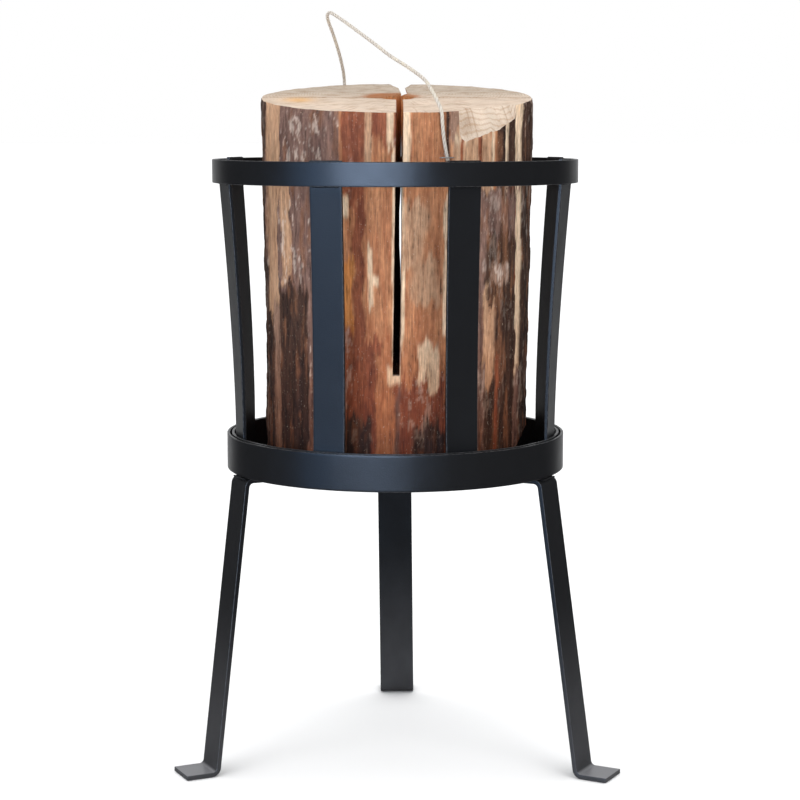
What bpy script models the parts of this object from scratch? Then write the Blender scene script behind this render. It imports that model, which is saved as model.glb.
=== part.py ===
"""Firewood log rack.

A steel stand (a hoop on three splayed flat-bar legs) carries a lift-out basket:
a bottom hoop, a top hoop, eight bowed upright slats and a floor plate.  A cross-sawn
log with a twine handle stands in the basket.  Metres, Z up, the foot of the stand on
Z = 0, and the basket's open front towards -Y.
"""

import math

import bmesh
import bpy
from mathutils import Matrix, Vector

MM = 0.001

# Stand hoop.
STAND_RADIUS = 150.0 * MM
STAND_WALL = 2.5 * MM
STAND_HEIGHT = 31.0 * MM
STAND_TOP = 290.1 * MM

# Stand legs, one flat bar bent at both ends.
LEG_WIDTH = 32.5 * MM
LEG_THICK = 4.0 * MM
LEG_SPLAY = 0.1316
LEG_INSET = 1.5 * MM
LEG_TAB_REACH = 25.0 * MM
LEG_FOOT_LENGTH = 28.6 * MM
LEG_BEND = 6.0 * MM
LEG_LEAN = 0.0117
LEG_ANGLES = {"leg_rear": 180.4, "leg_front_left": -64.0, "leg_front_right": 61.6}
WELD_RADIUS = 0.9 * MM
WELD_LENGTH = 26.0 * MM
WELD_OUT = 0.6 * MM

# Basket.
BASKET_WALL = 2.5 * MM
BASKET_RISE = 0.4 * MM
TOP_FLARE = 14.9 * MM
TOP_WALL = 3.0 * MM
TOP_HEIGHT = 20.2 * MM
TOP_EDGE_ABOVE_STAND = 240.7 * MM
PLATE_THICK = 2.0 * MM

# Upright slats: angle from the front at the foot and at the top hoop.
SLAT_WIDTH = 28.4 * MM
SLAT_THICK = 3.0 * MM
SLAT_PROUD = 1.0 * MM
SLAT_BOW = 1.5
SLAT_ANGLES = {
    "slat_front_left": (-23.0, -21.3),
    "slat_left_front": (-73.0, -69.0),
    "slat_left_rear": (-107.5, -111.0),
    "slat_rear_left": (-157.0, -158.7),
    "slat_front_right": (23.0, 21.3),
    "slat_right_front": (73.0, 69.0),
    "slat_right_rear": (107.5, 111.0),
    "slat_rear_right": (157.0, 158.7),
}

# Log.
LOG_LENGTH = 322.8 * MM
LOG_SHIFT = 1.2 * MM
LOG_TAPER = 0.013
LOG_SLANT = 0.117
LOG_BASE_ROUND = 5.0 * MM
SLOT_WIDTH = 6.0 * MM
SLOT_SIDE = 2.3 * MM
SLOT_DEPTH = 232.2 * MM
FLUE_RADIUS = 15.0 * MM
NOTCH_WIDTH = 19.0 * MM
NOTCH_DEPTH = 13.0 * MM
NOTCH_REACH = 34.0 * MM
NOTCH_OVERRUN = 6.0 * MM
FLUE_BELOW = 4.0 * MM

# Broken corners: two ends of the break's outer edge, as shares of the log's radius
# across and a height from the log's top or base, then the way the break leans in.
TOP_CHIP = ((0.369, -0.940, -39.2 * MM), (0.823, -0.585, -19.2 * MM), (-0.27, 0.36, 0.89))
BASE_CHIP = ((0.836, -0.484, 10.6 * MM), (0.819, 0.440, 10.6 * MM), (0.62, 0.0, 0.78))
CHIP_BLOCK = 24.0 * MM

# Staples: angle from the front and depth below the top's middle.
STAPLE_WIRE = 1.0 * MM
STAPLE_CROWN = 11.0 * MM
STAPLE_LEG = 7.0 * MM
STAPLES = {"staple_front": (20.4, 50.6 * MM), "staple_rear": (-156.8, 32.2 * MM)}

# Clearances.
BASKET_PLAY = 1.6 * MM
LOG_PLAY = 29.8 * MM
WELD_GAP = 0.3 * MM
REST_GAP = 0.3 * MM
STAPLE_GAP = 0.3 * MM
STAPLE_ROOM = 0.7 * MM

EDGE = 0.5 * MM
HOOP_STEPS = 96
LOG_STEPS = 60
SLAT_STEPS = 16
BEND_STEPS = 6

# Twine handle: its route over the log, from the front staple to the rear one, in
# millimetres across from the hoops' axis and up from the floor.
TWINE_RADIUS = 1.5 * MM
TWINE_POINTS = 72
TWINE_ROUTE = [
    (43.5, -111.3, 531.2),
    (42.1, -111.9, 538.0),
    (40.2, -112.8, 549.0),
    (38.9, -113.4, 562.0),
    (38.3, -114.0, 570.5),
    (35.6, -110.6, 578.2),
    (29.6, -101.0, 590.0),
    (24.2, -85.0, 598.2),
    (12.6, -65.0, 607.6),
    (-4.4, -40.0, 619.1),
    (-16.8, -25.0, 629.0),
    (-30.2, -8.0, 639.4),
    (-41.2, 5.0, 647.8),
    (-51.6, 20.0, 655.4),
    (-57.6, 30.0, 659.0),
    (-60.3, 38.0, 656.9),
    (-59.4, 47.0, 651.4),
    (-56.0, 60.0, 641.8),
    (-51.4, 80.0, 626.4),
    (-48.4, 95.0, 613.0),
    (-47.2, 107.6, 603.2),
    (-46.9, 110.3, 594.0),
    (-46.7, 109.8, 580.0),
    (-46.2, 109.7, 564.0),
    (-45.5, 109.6, 547.0),
]

# Sizes that follow from the ones above.
STAND_BOTTOM = STAND_TOP - STAND_HEIGHT
WELD_DROP = WELD_RADIUS + WELD_GAP
TAB_MIDDLE = STAND_BOTTOM - WELD_GAP - LEG_THICK / 2
LEG_TOP_RADIUS = STAND_RADIUS - LEG_INSET
LEG_HEEL_RADIUS = LEG_TOP_RADIUS + LEG_SPLAY * (TAB_MIDDLE - LEG_THICK / 2)
LEG_TOE_RADIUS = LEG_HEEL_RADIUS + LEG_FOOT_LENGTH
BASKET_RADIUS = STAND_RADIUS - STAND_WALL - BASKET_PLAY
TOP_RADIUS = BASKET_RADIUS + TOP_FLARE
BASKET_TOP = STAND_TOP + BASKET_RISE
BASKET_BOTTOM = STAND_BOTTOM - WELD_GAP + REST_GAP
TOP_EDGE = STAND_TOP + TOP_EDGE_ABOVE_STAND
PLATE_TOP = BASKET_BOTTOM + PLATE_THICK
LOG_BASE = PLATE_TOP + REST_GAP
LOG_TOP = LOG_BASE + LOG_LENGTH
LOG_BASE_RADIUS = BASKET_RADIUS - BASKET_WALL - LOG_PLAY
LOG_TOP_RADIUS = LOG_BASE_RADIUS + LOG_TAPER * LOG_LENGTH
SLOT_FLOOR = LOG_TOP - SLOT_DEPTH

# Where the hoops' shared axis stands, so the origin is the middle of the footprint.
AXIS_X = -0.6 * MM
AXIS_Y = (TOP_RADIUS - LEG_TOE_RADIUS) / 2


def clear_scene():
    for item in list(bpy.data.objects):
        bpy.data.objects.remove(item, do_unlink=True)


def make_collection(name):
    group = bpy.data.collections.new(name)
    bpy.context.scene.collection.children.link(group)
    return group


def make_material(name, colour, metallic, roughness):
    finish = bpy.data.materials.new(name)
    finish.use_nodes = True
    shader = finish.node_tree.nodes["Principled BSDF"]
    shader.inputs["Base Color"].default_value = (*colour, 1.0)
    shader.inputs["Metallic"].default_value = metallic
    shader.inputs["Roughness"].default_value = roughness
    finish.diffuse_color = (*colour, 1.0)
    return finish


def make_anchor(name, group):
    """An empty on the hoops' axis that carries the pieces of one body."""
    anchor = bpy.data.objects.new(name, None)
    anchor.location = (AXIS_X, AXIS_Y, 0.0)
    group.objects.link(anchor)
    return anchor


def place(name, shape, finish, anchor):
    """Put a mesh or curve on its body's anchor, with its finish."""
    item = bpy.data.objects.new(name, shape)
    item.parent = anchor
    if finish is not None:
        shape.materials.append(finish)
    anchor.users_collection[0].objects.link(item)
    return item


def around(angle, radius, height):
    """The point at an angle from the front, a distance from the axis and a height."""
    turn = math.radians(angle)
    return Vector((radius * math.sin(turn), -radius * math.cos(turn), height))


def tangent(angle):
    turn = math.radians(angle)
    return Vector((math.cos(turn), math.sin(turn), 0.0))


def turned(name, profile, closed, steps, finish, anchor):
    """Turn an outline of (radius, height) points around the axis."""
    mesh = bpy.data.meshes.new(name)
    count = len(profile)
    last = count if closed else count - 1
    edges = [(i, (i + 1) % count) for i in range(last)]
    mesh.from_pydata([(radius, 0.0, height) for radius, height in profile], edges, [])
    item = place(name, mesh, finish, anchor)
    spin = item.modifiers.new("turn", "SCREW")
    spin.axis = "Z"
    spin.angle = 2 * math.pi
    spin.steps = steps
    spin.render_steps = steps
    spin.use_merge_vertices = True
    spin.merge_threshold = 0.00001
    return item


def hoop(name, outer, wall, bottom, top, finish, anchor):
    inner = outer - wall
    profile = [
        (outer - EDGE, top), (outer, top - EDGE), (outer, bottom + EDGE),
        (outer - EDGE, bottom), (inner + EDGE, bottom), (inner, bottom + EDGE),
        (inner, top - EDGE), (inner + EDGE, top),
    ]
    return turned(name, profile, True, HOOP_STEPS, finish, anchor)


def flat_bar(name, points, sides, width, thick, finish, anchor):
    """A flat bar whose middle runs along the points and whose width lies along the sides."""
    mesh = bpy.data.meshes.new(name)
    verts = []
    for point, side in zip(points, sides):
        verts += [point - side * width / 2, point + side * width / 2]
    faces = [(2 * i, 2 * i + 1, 2 * i + 3, 2 * i + 2) for i in range(len(points) - 1)]
    mesh.from_pydata(verts, [], faces)
    item = place(name, mesh, finish, anchor)
    plate = item.modifiers.new("plate", "SOLIDIFY")
    plate.thickness = thick
    plate.offset = 0.0
    plate.use_even_offset = True
    edge = item.modifiers.new("edge", "BEVEL")
    edge.width = EDGE
    edge.segments = 1
    edge.limit_method = "ANGLE"
    edge.angle_limit = math.radians(60.0)
    return item


def wire(name, points, radius, finish, anchor):
    curve = bpy.data.curves.new(name, "CURVE")
    curve.dimensions = "3D"
    curve.bevel_depth = radius
    curve.bevel_resolution = 2
    curve.use_fill_caps = True
    strand = curve.splines.new("POLY")
    strand.points.add(len(points) - 1)
    for target, point in zip(strand.points, points):
        target.co = (*point, 1.0)
    return place(name, curve, finish, anchor)


def rounded(corners, radius, steps):
    """Round the inner corners of a line of (radius, height) points."""
    line = [Vector(corners[0])]
    for before, corner, after in zip(corners, corners[1:], corners[2:]):
        here = Vector(corner)
        back = (Vector(before) - here).normalized()
        ahead = (Vector(after) - here).normalized()
        half = back.angle(ahead) / 2
        start = here + back * (radius / math.tan(half))
        centre = here + (back + ahead).normalized() * (radius / math.sin(half))
        sweep = math.pi - 2 * half
        arm = start - centre
        sign = 1.0 if back.x * ahead.y - back.y * ahead.x < 0 else -1.0
        for k in range(steps + 1):
            turn = sign * sweep * k / steps
            c, s = math.cos(turn), math.sin(turn)
            line.append(centre + Vector((arm.x * c - arm.y * s, arm.x * s + arm.y * c)))
    line.append(Vector(corners[-1]))
    return line


def build_leg(name, angle, finish, anchor):
    corners = [
        (LEG_TOE_RADIUS, LEG_THICK / 2),
        (LEG_HEEL_RADIUS, LEG_THICK / 2),
        (LEG_TOP_RADIUS, TAB_MIDDLE),
        (LEG_TOP_RADIUS - LEG_TAB_REACH, TAB_MIDDLE),
    ]
    points = []
    for radius, height in rounded(corners, LEG_BEND, BEND_STEPS):
        point = around(angle, radius, height)
        point.x += LEG_LEAN * (TAB_MIDDLE - height)
        points.append(point)
    sides = [tangent(angle)] * len(points)
    return flat_bar(name, points, sides, LEG_WIDTH, LEG_THICK, finish, anchor)


def build_weld(name, angle, finish, anchor):
    """A short bead in the groove between a leg's bend and the hoop's lower edge."""
    radius = STAND_RADIUS + WELD_OUT
    spread = math.degrees(WELD_LENGTH / 2 / radius)
    points = [
        around(angle + spread * (2 * k / BEND_STEPS - 1), radius, STAND_BOTTOM - WELD_DROP)
        for k in range(BEND_STEPS + 1)
    ]
    return wire(name, points, WELD_RADIUS, finish, anchor)


def build_stand(steel, anchor):
    hoop("stand_ring", STAND_RADIUS, STAND_WALL, STAND_BOTTOM, STAND_TOP, steel, anchor)
    for name, angle in LEG_ANGLES.items():
        build_leg(name, angle, steel, anchor)
        build_weld(name.replace("leg", "weld"), angle, steel, anchor)


def seat_radius(outer, wall):
    """How far out a flat slat's outer face can stand inside a hoop."""
    inner = outer - wall
    return math.sqrt(inner**2 - (SLAT_WIDTH / 2) ** 2) - WELD_GAP


def build_slat(name, angles, finish, anchor):
    foot = PLATE_TOP + REST_GAP
    top = TOP_EDGE + SLAT_PROUD
    low = seat_radius(BASKET_RADIUS, BASKET_WALL)
    high = seat_radius(TOP_RADIUS, TOP_WALL)
    span = TOP_EDGE - TOP_HEIGHT - STAND_TOP
    points, sides = [], []
    for i in range(SLAT_STEPS + 1):
        height = foot + (top - foot) * i / SLAT_STEPS
        share = min(max((height - STAND_TOP) / span, 0.0), 1.0)
        face = low + (high - low) * share**SLAT_BOW
        angle = angles[0] + (angles[1] - angles[0]) * share
        points.append(around(angle, face - SLAT_THICK / 2, height))
        sides.append(tangent(angle))
    return flat_bar(name, points, sides, SLAT_WIDTH, SLAT_THICK, finish, anchor)


def build_basket(steel, anchor):
    hoop("basket_ring", BASKET_RADIUS, BASKET_WALL, BASKET_BOTTOM, BASKET_TOP, steel, anchor)
    hoop("top_ring", TOP_RADIUS, TOP_WALL, TOP_EDGE - TOP_HEIGHT, TOP_EDGE, steel, anchor)
    rim = BASKET_RADIUS - BASKET_WALL - WELD_GAP
    plate = [
        (0.0, PLATE_TOP), (rim - EDGE, PLATE_TOP), (rim, PLATE_TOP - EDGE),
        (rim, BASKET_BOTTOM + EDGE), (rim - EDGE, BASKET_BOTTOM), (0.0, BASKET_BOTTOM),
    ]
    turned("floor_plate", plate, False, HOOP_STEPS, steel, anchor)
    for name, angles in SLAT_ANGLES.items():
        build_slat(name, angles, steel, anchor)


def hide_cutter(item):
    item.hide_render = True
    item.display_type = "WIRE"
    return item


def block(name, centre, size, turn, anchor):
    """A box to take away from the log, turned about its own centre."""
    mesh = bpy.data.meshes.new(name)
    shape = bmesh.new()
    bmesh.ops.create_cube(shape, size=1.0, matrix=Matrix.Diagonal((*size, 1.0)))
    bmesh.ops.transform(shape, matrix=turn.to_4x4(), verts=shape.verts)
    bmesh.ops.translate(shape, vec=Vector(centre), verts=shape.verts)
    shape.to_mesh(mesh)
    shape.free()
    return hide_cutter(place(name, mesh, None, anchor))


def bored(name, centre, radius, bottom, top, anchor):
    """An upright cylinder to take away from the log."""
    mesh = bpy.data.meshes.new(name)
    shape = bmesh.new()
    bmesh.ops.create_cone(
        shape, cap_ends=True, segments=32, radius1=radius, radius2=radius, depth=top - bottom
    )
    bmesh.ops.translate(shape, vec=(*centre, (bottom + top) / 2), verts=shape.verts)
    shape.to_mesh(mesh)
    shape.free()
    return hide_cutter(place(name, mesh, None, anchor))


def chip(name, sizes, level, anchor):
    """A block that breaks away everything beyond a slanted plane."""
    ends = [Vector((x * LOG_TOP_RADIUS + LOG_SHIFT, y * LOG_TOP_RADIUS, level + z))
            for x, y, z in sizes[:2]]
    along = (ends[1] - ends[0]).normalized()
    normal = along.cross(Vector(sizes[2])).normalized()
    turn = Matrix((along, normal.cross(along), normal)).transposed()
    middle = (ends[0] + ends[1]) / 2 + normal * CHIP_BLOCK / 2
    size = ((ends[1] - ends[0]).length, 4 * CHIP_BLOCK, CHIP_BLOCK)
    return block(name, middle, size, turn, anchor)


def notch(name, anchor):
    """A V-shaped wedge at the rear mouth of the long slot, lofted from rim to point."""
    outer, inner = LOG_TOP_RADIUS + NOTCH_OVERRUN, LOG_TOP_RADIUS - NOTCH_REACH
    stations = ((outer, NOTCH_WIDTH / 2, NOTCH_DEPTH), (inner, SLOT_WIDTH / 2, EDGE))
    verts = []
    for depth, wide, sink in stations:
        surface = LOG_TOP + LOG_SLANT * depth
        for across, level in (
            (-wide - EDGE, surface + NOTCH_OVERRUN), (wide + EDGE, surface + NOTCH_OVERRUN),
            (SLOT_WIDTH / 2 - EDGE, surface - sink), (EDGE - SLOT_WIDTH / 2, surface - sink),
        ):
            verts.append((SLOT_SIDE + across, depth, level))
    faces = [(0, 1, 2, 3), (4, 7, 6, 5)] + [(i, i + 4, (i + 1) % 4 + 4, (i + 1) % 4)
                                            for i in range(4)]
    mesh = bpy.data.meshes.new(name)
    mesh.from_pydata(verts, [], faces)
    return hide_cutter(place(name, mesh, None, anchor))


def log_cutters(anchor):
    straight = Matrix.Identity(3)
    reach = 4 * LOG_TOP_RADIUS
    tilt = Matrix.Rotation(math.atan(LOG_SLANT), 3, "X")
    above = Vector((0.0, 0.0, LOG_TOP)) + tilt @ Vector((0.0, 0.0, reach / 2))
    middle = SLOT_FLOOR + reach / 2
    yield block("cut_top", above, (reach, reach, reach), tilt, anchor)
    yield block("cut_slot_long", (SLOT_SIDE, 0, middle), (SLOT_WIDTH, reach, reach),
                straight, anchor)
    yield block("cut_slot_cross", (0, 0, middle), (reach, SLOT_WIDTH, reach), straight, anchor)
    yield bored("cut_flue", (SLOT_SIDE, 0), FLUE_RADIUS, SLOT_FLOOR - FLUE_BELOW,
                SLOT_FLOOR + reach, anchor)
    yield notch("cut_notch", anchor)
    yield chip("cut_top_chip", TOP_CHIP, LOG_TOP, anchor)
    yield chip("cut_base_chip", BASE_CHIP, LOG_BASE, anchor)


def staple_frame(angle, drop):
    """Where a staple stands on the bark, the way its crown runs and the way out."""
    height = LOG_TOP - drop
    out = around(angle, 1.0, 0.0)
    radius = LOG_BASE_RADIUS + LOG_TAPER * (height - LOG_BASE)
    return Vector((LOG_SHIFT, 0.0, height)) + out * radius, tangent(angle), out


def staple_pockets(anchor):
    wide = STAPLE_WIRE + 2 * STAPLE_GAP
    for name, (angle, drop) in STAPLES.items():
        base, side, out = staple_frame(angle, drop)
        turn = Matrix((-side, out, Vector((0.0, 0.0, 1.0)))).transposed()
        for end, word in ((-1, "left"), (1, "right")):
            centre = base + side * (end * STAPLE_CROWN / 2)
            size = (wide, 2 * (STAPLE_LEG + STAPLE_GAP), wide)
            yield block("cut_%s_%s" % (name, word), centre, size, turn, anchor)


def build_staple(name, angle, drop, finish, anchor):
    """A wire with two legs in the wood and a crown over the twine."""
    base, side, out = staple_frame(angle, drop)
    rise = 2 * TWINE_RADIUS + STAPLE_WIRE / 2 + STAPLE_ROOM
    half = side * STAPLE_CROWN / 2
    points = [
        base - half - out * STAPLE_LEG, base - half + out * rise,
        base + half + out * rise, base + half - out * STAPLE_LEG,
    ]
    return wire(name, points, STAPLE_WIRE / 2, finish, anchor)


def build_log(finish, anchor, guides):
    """The round log, sawn on a slant at the top, with its slots, flue and breaks."""
    high = LOG_TOP + 2 * LOG_SLANT * LOG_TOP_RADIUS
    soft = LOG_BASE_ROUND
    profile = [
        (0.0, high), (LOG_BASE_RADIUS + LOG_TAPER * (high - LOG_BASE), high),
        (LOG_BASE_RADIUS, LOG_BASE + soft), (LOG_BASE_RADIUS - 0.29 * soft, LOG_BASE + 0.29 * soft),
        (LOG_BASE_RADIUS - soft, LOG_BASE), (0.0, LOG_BASE),
    ]
    item = turned("log", profile, False, LOG_STEPS, finish, anchor)
    item.location.x = LOG_SHIFT
    for shape in list(log_cutters(guides)) + list(staple_pockets(guides)):
        cut = item.modifiers.new(shape.name, "BOOLEAN")
        cut.operation = "DIFFERENCE"
        cut.solver = "EXACT"
        cut.object = shape
    return item


def smooth_line(route, count):
    """Even points on a smooth curve through the route points."""
    ends = [2 * route[0] - route[1], *route, 2 * route[-1] - route[-2]]
    dense = []
    for a, b, c, d in zip(ends, ends[1:], ends[2:], ends[3:]):
        for k in range(16):
            t = k / 16
            dense.append(
                0.5 * (2 * b + (c - a) * t + (2 * a - 5 * b + 4 * c - d) * t**2
                       + (3 * b - a - 3 * c + d) * t**3)
            )
    dense.append(route[-1])
    lengths = [0.0]
    for one, two in zip(dense, dense[1:]):
        lengths.append(lengths[-1] + (two - one).length)
    points, i = [], 0
    for k in range(count):
        target = lengths[-1] * k / (count - 1)
        while i < len(dense) - 2 and lengths[i + 1] < target:
            i += 1
        share = (target - lengths[i]) / (lengths[i + 1] - lengths[i])
        points.append(dense[i].lerp(dense[i + 1], min(max(share, 0.0), 1.0)))
    return points


def build_twine(finish, anchor):
    route = [Vector(point) * MM for point in TWINE_ROUTE]
    return wire("twine_handle", smooth_line(route, TWINE_POINTS), TWINE_RADIUS, finish, anchor)


def main():
    clear_scene()
    parts = make_collection("firewood_log_rack")
    cuts = make_collection("cutters")
    steel = make_material("painted_steel", (0.016, 0.018, 0.024), 0.3, 0.35)
    wood = make_material("log_wood", (0.42, 0.24, 0.13), 0.0, 0.8)
    twine = make_material("twine", (0.62, 0.54, 0.42), 0.0, 0.9)
    bright = make_material("staple_steel", (0.62, 0.60, 0.56), 1.0, 0.4)
    build_stand(steel, make_anchor("stand_anchor", parts))
    build_basket(steel, make_anchor("basket_anchor", parts))
    firewood = make_anchor("firewood_anchor", parts)
    build_log(wood, firewood, make_anchor("cutter_anchor", cuts))
    for name, (angle, drop) in STAPLES.items():
        build_staple(name, angle, drop, bright, firewood)
    build_twine(twine, firewood)


main()
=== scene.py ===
"""Firewood log rack: a painted steel stand and lift-out basket around a cross-sawn log.

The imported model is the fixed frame, in metres, +Z up.  Each sub-assembly is a class that
works out its meshes as numpy surfaces and dresses them in its finishes.  Shapes are worked
out about the hoops' shared axis and moved onto it as they become meshes.
"""

import logging
import math
from abc import ABC, abstractmethod
from collections.abc import Callable, Mapping, Sequence
from dataclasses import dataclass, field
from enum import Enum
from typing import ClassVar

import bmesh
import bpy
import numpy as np
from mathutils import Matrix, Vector


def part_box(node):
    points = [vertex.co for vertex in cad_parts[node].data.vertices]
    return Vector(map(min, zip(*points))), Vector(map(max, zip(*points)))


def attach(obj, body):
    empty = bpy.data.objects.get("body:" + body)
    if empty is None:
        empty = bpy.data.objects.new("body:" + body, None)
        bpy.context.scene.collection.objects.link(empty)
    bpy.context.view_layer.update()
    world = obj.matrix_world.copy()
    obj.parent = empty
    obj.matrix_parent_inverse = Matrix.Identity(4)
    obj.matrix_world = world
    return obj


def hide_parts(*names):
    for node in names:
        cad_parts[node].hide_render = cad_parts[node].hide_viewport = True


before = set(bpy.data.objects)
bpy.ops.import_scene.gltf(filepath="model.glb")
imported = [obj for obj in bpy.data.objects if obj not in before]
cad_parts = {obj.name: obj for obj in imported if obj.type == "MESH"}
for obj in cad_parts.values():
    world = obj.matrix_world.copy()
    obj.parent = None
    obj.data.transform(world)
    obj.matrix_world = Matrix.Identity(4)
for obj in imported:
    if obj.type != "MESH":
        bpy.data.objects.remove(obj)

LOG = logging.getLogger("log_rack")
MM = 0.001
MERGE = 2e-6
WOOD_SPECULAR = 0.06

Colour = tuple[float, float, float]
Painter = Callable[[np.ndarray], np.ndarray]


class Body(Enum):
    """The bodies that pieces ride on."""

    STAND = "stand"
    BASKET = "basket"
    FIREWOOD = "firewood"


class Slot(Enum):
    """The record's material slots."""

    STEEL = "painted_steel"
    WOOD = "log_wood"
    TWINE = "twine"
    STAPLE = "staple_steel"


def srgb(red: int, green: int, blue: int) -> Colour:
    """Turn a colour as a screen shows it into linear light.

    Args:
        red: Red from 0 to 255.
        green: Green from 0 to 255.
        blue: Blue from 0 to 255.

    Returns:
        The three linear shares.
    """
    share = np.array([red, green, blue]) / 255.0
    linear = np.where(share <= 0.04045, share / 12.92, ((share + 0.055) / 1.055) ** 2.4)
    return tuple(float(value) for value in linear)


def toward(colour: np.ndarray, tone: np.ndarray | Colour, share: np.ndarray) -> np.ndarray:
    """Colours moved towards a tone, by a share for each point."""
    return colour + (np.asarray(tone) - colour) * share[..., None]


def tie(piece: bpy.types.Object, body: Body, node: str = "") -> bpy.types.Object:
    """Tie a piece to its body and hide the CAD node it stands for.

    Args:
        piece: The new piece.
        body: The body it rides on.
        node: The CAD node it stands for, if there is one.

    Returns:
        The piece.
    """
    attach(piece, body.value)
    if node:
        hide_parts(node)
    LOG.info("%s: %d faces", piece.name, len(piece.data.polygons))
    return piece


# --------------------------------------------------------------------------- surfaces


def smoothstep(value: np.ndarray, low: float, high: float) -> np.ndarray:
    """Rise smoothly from 0 at low to 1 at high."""
    share = np.clip((value - low) / (high - low), 0.0, 1.0)
    return share * share * (3.0 - 2.0 * share)


def lattice_noise(points: np.ndarray, seed: int) -> np.ndarray:
    """Smooth noise from -1 to 1: fixed random values at whole-number corners, blended.

    Args:
        points: Points of shape (..., 3), one unit to a noise cell.
        seed: Which pattern.

    Returns:
        One value for each point.
    """
    cell = np.floor(points).astype(np.int64)
    share = points - cell
    share = share * share * (3.0 - 2.0 * share)
    total = np.zeros(points.shape[:-1])
    for corner in np.ndindex(2, 2, 2):
        at = cell + np.array(corner)
        mixed = at[..., 0] * 73856093 ^ at[..., 1] * 19349663 ^ at[..., 2] * 83492791
        mixed = (mixed + seed * 2654435761) & 0xFFFFFFFF
        mixed = ((mixed ^ (mixed >> 15)) * 2246822519) & 0xFFFFFFFF
        mixed = ((mixed ^ (mixed >> 13)) * 3266489917) & 0xFFFFFFFF
        value = (mixed ^ (mixed >> 16)) / 0xFFFFFFFF * 2.0 - 1.0
        total += value * np.prod(np.where(np.array(corner) == 1, share, 1.0 - share), axis=-1)
    return total


def grain(points: np.ndarray, across: float, along: float, seed: int, layers: int = 2) -> np.ndarray:
    """Noise drawn out along Z: layers of lattice noise, each half the size and strength.

    Args:
        points: Points of shape (..., 3) in metres.
        across: The size of a feature across the grain, in metres.
        along: Its size along Z, in metres.
        seed: Which pattern.
        layers: How many layers are added.

    Returns:
        One value for each point, about -1 to 1.
    """
    cell = points / np.array([across, across, along])
    total, weight = np.zeros(points.shape[:-1]), 0.0
    for layer in range(layers):
        total += lattice_noise(cell * 2.0**layer, seed + layer) / 2.0**layer
        weight += 0.5**layer
    return total / weight * 1.4


def grid_faces(rows: int, columns: int, close_rows: bool, close_columns: bool) -> np.ndarray:
    """Quads of a grid whose points are stored row by row.

    Args:
        rows: How many rows of points.
        columns: How many points in a row.
        close_rows: Whether the last row joins the first.
        close_columns: Whether each row's end joins its start.

    Returns:
        An array of four corner numbers a face.
    """
    row = np.arange(rows if close_rows else rows - 1)[:, None]
    column = np.arange(columns if close_columns else columns - 1)[None, :]
    after_row, after_column = (row + 1) % rows, (column + 1) % columns
    corners = (
        row * columns + column, row * columns + after_column,
        after_row * columns + after_column, after_row * columns + column,
    )
    return np.stack([np.broadcast_to(c, (len(row), column.shape[1])) for c in corners],
                    axis=-1).reshape(-1, 4)


@dataclass
class Skin:
    """Points and faces gathered for one mesh, with a kind of surface for each face."""

    points: list[np.ndarray] = field(default_factory=list)
    faces: list[Sequence[int]] = field(default_factory=list)
    kinds: list[int] = field(default_factory=list)
    rubs: list[np.ndarray] = field(default_factory=list)

    def add(self, points: np.ndarray, faces: Sequence[Sequence[int]], kind: np.ndarray | int = 0,
            rub: np.ndarray | float = 0.0) -> None:
        """Add a surface.

        Args:
            points: Its points, of shape (..., 3).
            faces: Its faces, numbered within those points.
            kind: The kind of surface of each face, or of all of them.
            rub: How near each point is to an edge, from 0 to 1.
        """
        flat = np.asarray(points, float).reshape(-1, 3)
        start = sum(len(block) for block in self.points)
        self.points.append(flat)
        self.faces += [[int(corner) + start for corner in face] for face in faces]
        self.kinds += np.broadcast_to(kind, len(faces)).tolist()
        self.rubs.append(np.broadcast_to(rub, np.shape(points)[:-1]).reshape(-1))

    def mesh(self, name: str, axis: Vector, finishes: Sequence[bpy.types.Material],
             painters: Sequence[Painter] = ()) -> bpy.types.Object:
        """Close the seams, turn the faces outwards and make the object.

        Args:
            name: The piece's name.
            axis: Where the hoops' axis stands.
            finishes: A material for each kind of surface.
            painters: A function from points to colours for each kind, if it is painted.

        Returns:
            The new object, at the origin.
        """
        data = bpy.data.meshes.new(name)
        data.from_pydata(np.concatenate(self.points), [], self.faces)
        data.polygons.foreach_set("material_index", np.array(self.kinds, np.int32))
        rub = data.attributes.new("rub", "FLOAT", "POINT")
        rub.data.foreach_set("value", np.concatenate(self.rubs).astype(np.float32))
        shape = bmesh.new()
        shape.from_mesh(data)
        bmesh.ops.remove_doubles(shape, verts=shape.verts, dist=MERGE)
        bmesh.ops.dissolve_degenerate(shape, edges=shape.edges, dist=MERGE)
        bmesh.ops.recalc_face_normals(shape, faces=shape.faces)
        shape.to_mesh(data)
        shape.free()
        if painters:
            paint_corners(data, painters)
        place = mesh_points(data) + np.array([axis.x, axis.y, 0.0], np.float32)
        data.vertices.foreach_set("co", place.reshape(-1))
        data.polygons.foreach_set("use_smooth", np.ones(len(data.polygons), bool))
        for finish in finishes:
            data.materials.append(finish)
        data.update()
        item = bpy.data.objects.new(name, data)
        bpy.context.scene.collection.objects.link(item)
        return item


def mesh_points(data: bpy.types.Mesh) -> np.ndarray:
    """The points of a mesh, of shape (n, 3)."""
    place = np.empty(len(data.vertices) * 3, np.float32)
    data.vertices.foreach_get("co", place)
    return place.reshape(-1, 3)


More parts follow.
